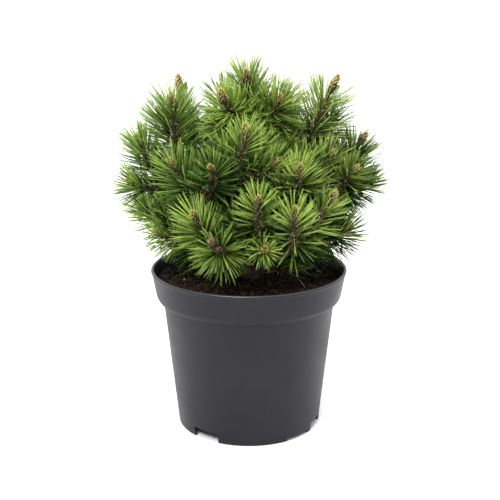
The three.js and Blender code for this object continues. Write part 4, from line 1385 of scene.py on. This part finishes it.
class MUGO_OT_buds(bpy.types.Operator):
    """Close every shoot with a scaly bud, and set smaller ones round the larger"""

    bl_idname = "mugo.buds"
    bl_label = "Buds"

    def execute(self, context):
        buds = settings("buds")
        rng = np.random.default_rng(SEED + 4)
        parts = Parts()
        for shoot in all_shoots():
            scales = buds.scales if shoot.main else SIDE_TWIG_SCALES
            if shoot.candle:
                scales = int(scales * CANDLE_SCALES)
            foot, tip = shoot.path.at(shoot.bud_foot), shoot.path.points[-1]
            self.add_bud(parts, shoot, foot, tip, shoot.bud_radius, scales, rng)
            if shoot.main:
                self.add_side_buds(parts, shoot, rng)
        finishes = [
            plain("bud_heart", tuple(buds.foot_colour), 0.7),
            plain("bud_foot", tuple(buds.foot_colour), 0.7),
            plain("bud_scale", tuple(buds.colour), 0.55),
            plain("bud_scale_light", mix(buds.colour, buds.fringe_colour, 0.5), 0.6),
            plain("bud_fringe", tuple(buds.fringe_colour), 0.75),
            plain("bud_green", tuple(buds.young_colour), 0.55),
            plain("bud_fringe_green", tuple(buds.young_fringe_colour), 0.75),
        ]
        finish_piece(parts.piece("pine_buds", finishes), "bark")
        return {"FINISHED"}

    @staticmethod
    def add_bud(parts, shoot, foot, tip, radius, scales, rng):
        """A core with overlapping scales. A drooping bud has greener scales, and painted shade: darker
        scales, with fewer pale fringes.
        """
        path = Path(foot, lerp(foot, tip, 0.5), tip)
        droop = math.hypot(*path.tangents[-1][:2])
        core = bent_tube(path, 7, 6, lambda turn, share: radius * CORE_WIDTH * bud_outline(share))
        parts.add(*core, HEART_WOOD)
        rise = (np.arange(scales) + 0.5) / scales
        turn = np.arange(scales) * GOLDEN_ANGLE
        out, along = path.outward(rise, turn), path.along(rise)
        tilt = np.radians(lerp(*SCALE_TILT, rise) + rng.normal(0, UNEVEN_TILT, scales))[:, None]
        directions = unit(along * np.cos(tilt) + out * np.sin(tilt))
        starts = path.at(rise * 0.92) + out * (radius * SCALE_FEET * bud_outline(rise))[:, None]
        flats = unit(np.cross(along, out))
        full = np.minimum(path.length * SCALE_LENGTH, LONGEST_SCALE)
        lengths = rng.uniform(*SCALE_LENGTHS, scales) * full
        widths = rng.uniform(*SCALE_WIDTHS, scales) * radius * SCALE_WIDTH
        bends = out * (lengths * rng.uniform(*SCALE_CURL, scales))[:, None]
        master = tube_master(3, 3, True)
        points, faces = copies(
            master, starts, directions, flats, lengths, widths, 0.4, bends, scale_outline
        )
        outer_end = master[1][master[3]].mean(axis=1) > FRINGE_FROM
        # Painted shade: a drooping bud's scales are darker, and fewer have pale fringes.
        level = rise + rng.normal(0, UNEVEN_LEVEL, scales) - DROOP_PAINTED_SHADE * droop
        fringed = rng.random(scales) < lerp(*FRINGED, rise) * (1 - DROOP_FRINGE_PAINTED_SHADE * droop)
        young = rng.random(scales) < YOUNG_BUDS * max(shoot.front, droop)
        levels = BROWN_LEVELS if shoot.brown else LEVELS
        body = np.searchsorted(levels, level, side="right") + FOOT_SCALE
        if shoot.brown:
            fringed[:] = False
        else:
            body[(body > FOOT_SCALE) & young] = YOUNG_SCALE
        fringe = np.where(young, YOUNG_FRINGE, FRINGE)
        finish = np.where(outer_end[None] & fringed[:, None], fringe[:, None], body[:, None]).ravel()
        parts.add(points, faces, finish)

    def add_side_buds(self, parts, shoot, rng):
        share = min(0.999, shoot.bud_foot + 0.1 * (1 - shoot.bud_foot))
        foot, along = shoot.path.at(share), shoot.path.along(share)
        for turn in rng.uniform(0, FULL_TURN) + np.arange(rng.integers(1, 4)) * FULL_TURN / 3:
            out = shoot.path.outward(share, turn)
            start = foot + out * shoot.bud_radius * 0.5
            tip = start + unit(along + out * 0.42) * shoot.bud_length * rng.uniform(*SIDE_BUD_LENGTHS)
            radius = shoot.bud_radius * SIDE_BUD_RADIUS
            self.add_bud(parts, shoot, start, tip, radius, SIDE_BUD_SCALES, rng)


# ---------------------------------------------------------------- stage


FRONT_AIR, BACK_AIR = 0.28, 1.25  # brightness of the room in front of the plant, and behind it
AIR_DEPTH, AIR_RISE = (-0.6, 0.5), (0.05, 0.35)  # where it changes, from front to back and upwards
FLOOR_GLOW = 0.30  # painted light: the floor glows, which keeps it evenly white and lights the plant a little from below; the glow is taken away under the pot, a painted shadow there
GLOW_AND_PAINTED_SHADOW_REACH = (0.86, 1.08)  # shares of the pot's foot where the glow begins, and where it is whole; inside that the floor has a painted shadow
FLOOR_SIZE = 40.0
SUN_POWER, SUN_SIZE, SUN_TURN = 2.6, math.radians(24), (math.radians(42), 0.0, math.radians(-22))
LAMP_POWER, LAMP_SIZE, LAMP_PLACE, LAMP_AIM = 22.0, 1.4, (0.1, -0.3, 1.9), (0.0, 0.0, 0.18)


class MUGO_OT_stage(bpy.types.Operator):
    """Lay the floor, which glows white with a painted shadow under the pot, and set the soft lights and the
    camera
    """

    bl_idname = "mugo.stage"
    bl_label = "Floor, light and camera"

    def execute(self, context):
        stage, scene = settings("stage"), context.scene
        self.lay_floor(stage)
        scene.world = self.air()

        sun = bpy.data.lights.new("key", "SUN")
        sun.energy = SUN_POWER
        sun.angle = SUN_SIZE
        shown(sun).rotation_euler = SUN_TURN
        light = bpy.data.lights.new("top", "AREA")
        light.shape = "DISK"
        light.size = LAMP_SIZE
        light.energy = LAMP_POWER
        lamp = shown(light)
        lamp.location = LAMP_PLACE
        aim = Vector(LAMP_AIM) - Vector(LAMP_PLACE)
        lamp.rotation_euler = aim.to_track_quat("-Z", "Y").to_euler()

        lens = bpy.data.cameras.new("camera")
        lens.sensor_width = 36.0
        lens.lens = stage.lens
        camera = shown(lens)
        camera.location = (stage.aside, -stage.distance, stage.height)
        camera.rotation_euler = (math.pi / 2 - stage.tilt, 0.0, 0.0)
        scene.camera = camera
        scene.view_settings.view_transform = "Standard"
        return {"FINISHED"}

    @staticmethod
    def lay_floor(stage):
        shade = Shading(plain("floor_paint", tuple(stage.floor_colour), 0.9, 0.05, 6.0))
        foot = settings("pot").foot_radius
        reach = shade.add("VectorMath", "Value", {0: shade.where()}, operation="LENGTH")
        glow_from, glow_whole = (foot * share for share in GLOW_AND_PAINTED_SHADOW_REACH)
        # Painted shadow: no glow under the pot's foot, fading in to the whole glow just outside it.
        glow_and_painted_shadow = shade.remap(reach, 0.0, FLOOR_GLOW, glow_from, glow_whole)
        paint = shade.done(Specular_IOR_Level=0.1, Emission_Color=(*WHITE, 1.0), Emission_Strength=glow_and_painted_shadow)
        bm = bmesh.new()
        bmesh.ops.create_grid(bm, x_segments=1, y_segments=1, size=FLOOR_SIZE)
        floor = bmesh_piece("studio_floor", bm, [paint])

    @staticmethod
    def air():
        """The room's light: dim in front of the plant, bright behind it, and even overhead."""
        shade = Shading(bpy.data.worlds.new("studio_air"))
        axes = shade.tree.nodes.new("ShaderNodeSeparateXYZ")
        shade.feed(axes, {"Vector": shade.add("TexCoord", "Generated", {})})
        depth = shade.remap(axes.outputs["Y"], FRONT_AIR, BACK_AIR, *AIR_DEPTH)
        horizon = shade.remap(axes.outputs["Z"], 1.0, 0.0, *AIR_RISE)
        strength = shade.add("Mix", "Result", {"Factor": horizon, "A": depth, "B": 1.0})
        shade.feed(shade.tree.nodes["Background"], {"Color": (*WHITE, 1.0), "Strength": strength})
        return shade.owner


# ---------------------------------------------------------------- panel and registration


OPERATORS = (
    MUGO_OT_pot,
    MUGO_OT_soil,
    MUGO_OT_limbs,
    MUGO_OT_twigs,
    MUGO_OT_needles,
    MUGO_OT_buds,
    MUGO_OT_stage,
)

SETTINGS = {
    "pot": PotSettings,
    "soil": SoilSettings,
    "wood": WoodSettings,
    "needles": NeedleSettings,
    "buds": BudSettings,
    "stage": StageSettings,
}


class MUGO_PT_panel(bpy.types.Panel):
    """Lists the plant's settings and pieces"""

    bl_idname = "MUGO_PT_panel"
    bl_label = "Mugo Pine"
    bl_space_type = "VIEW_3D"
    bl_region_type = "UI"
    bl_category = "Mugo Pine"

    def draw(self, context):
        for operator in OPERATORS:
            self.layout.operator(operator.bl_idname)
        for name, group in SETTINGS.items():
            box = self.layout.box()
            box.label(text=group.__doc__)
            for key in group.__annotations__:
                box.prop(getattr(context.scene, "mugo_" + name), key)


def register():
    for each in (*SETTINGS.values(), *OPERATORS, MUGO_PT_panel):
        bpy.utils.register_class(each)
    for name, group in SETTINGS.items():
        setattr(bpy.types.Scene, "mugo_" + name, bpy.props.PointerProperty(type=group))


def unregister():
    for name in SETTINGS:
        delattr(bpy.types.Scene, "mugo_" + name)
    for each in reversed((*SETTINGS.values(), *OPERATORS, MUGO_PT_panel)):
        bpy.utils.unregister_class(each)


def main():
    register()
    bpy.ops.mugo.pot()
    bpy.ops.mugo.soil()
    bpy.ops.mugo.limbs()
    bpy.ops.mugo.twigs()
    bpy.ops.mugo.needles()
    bpy.ops.mugo.buds()
    bpy.ops.mugo.stage()
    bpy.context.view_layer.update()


if __name__ == "__main__":
    main()
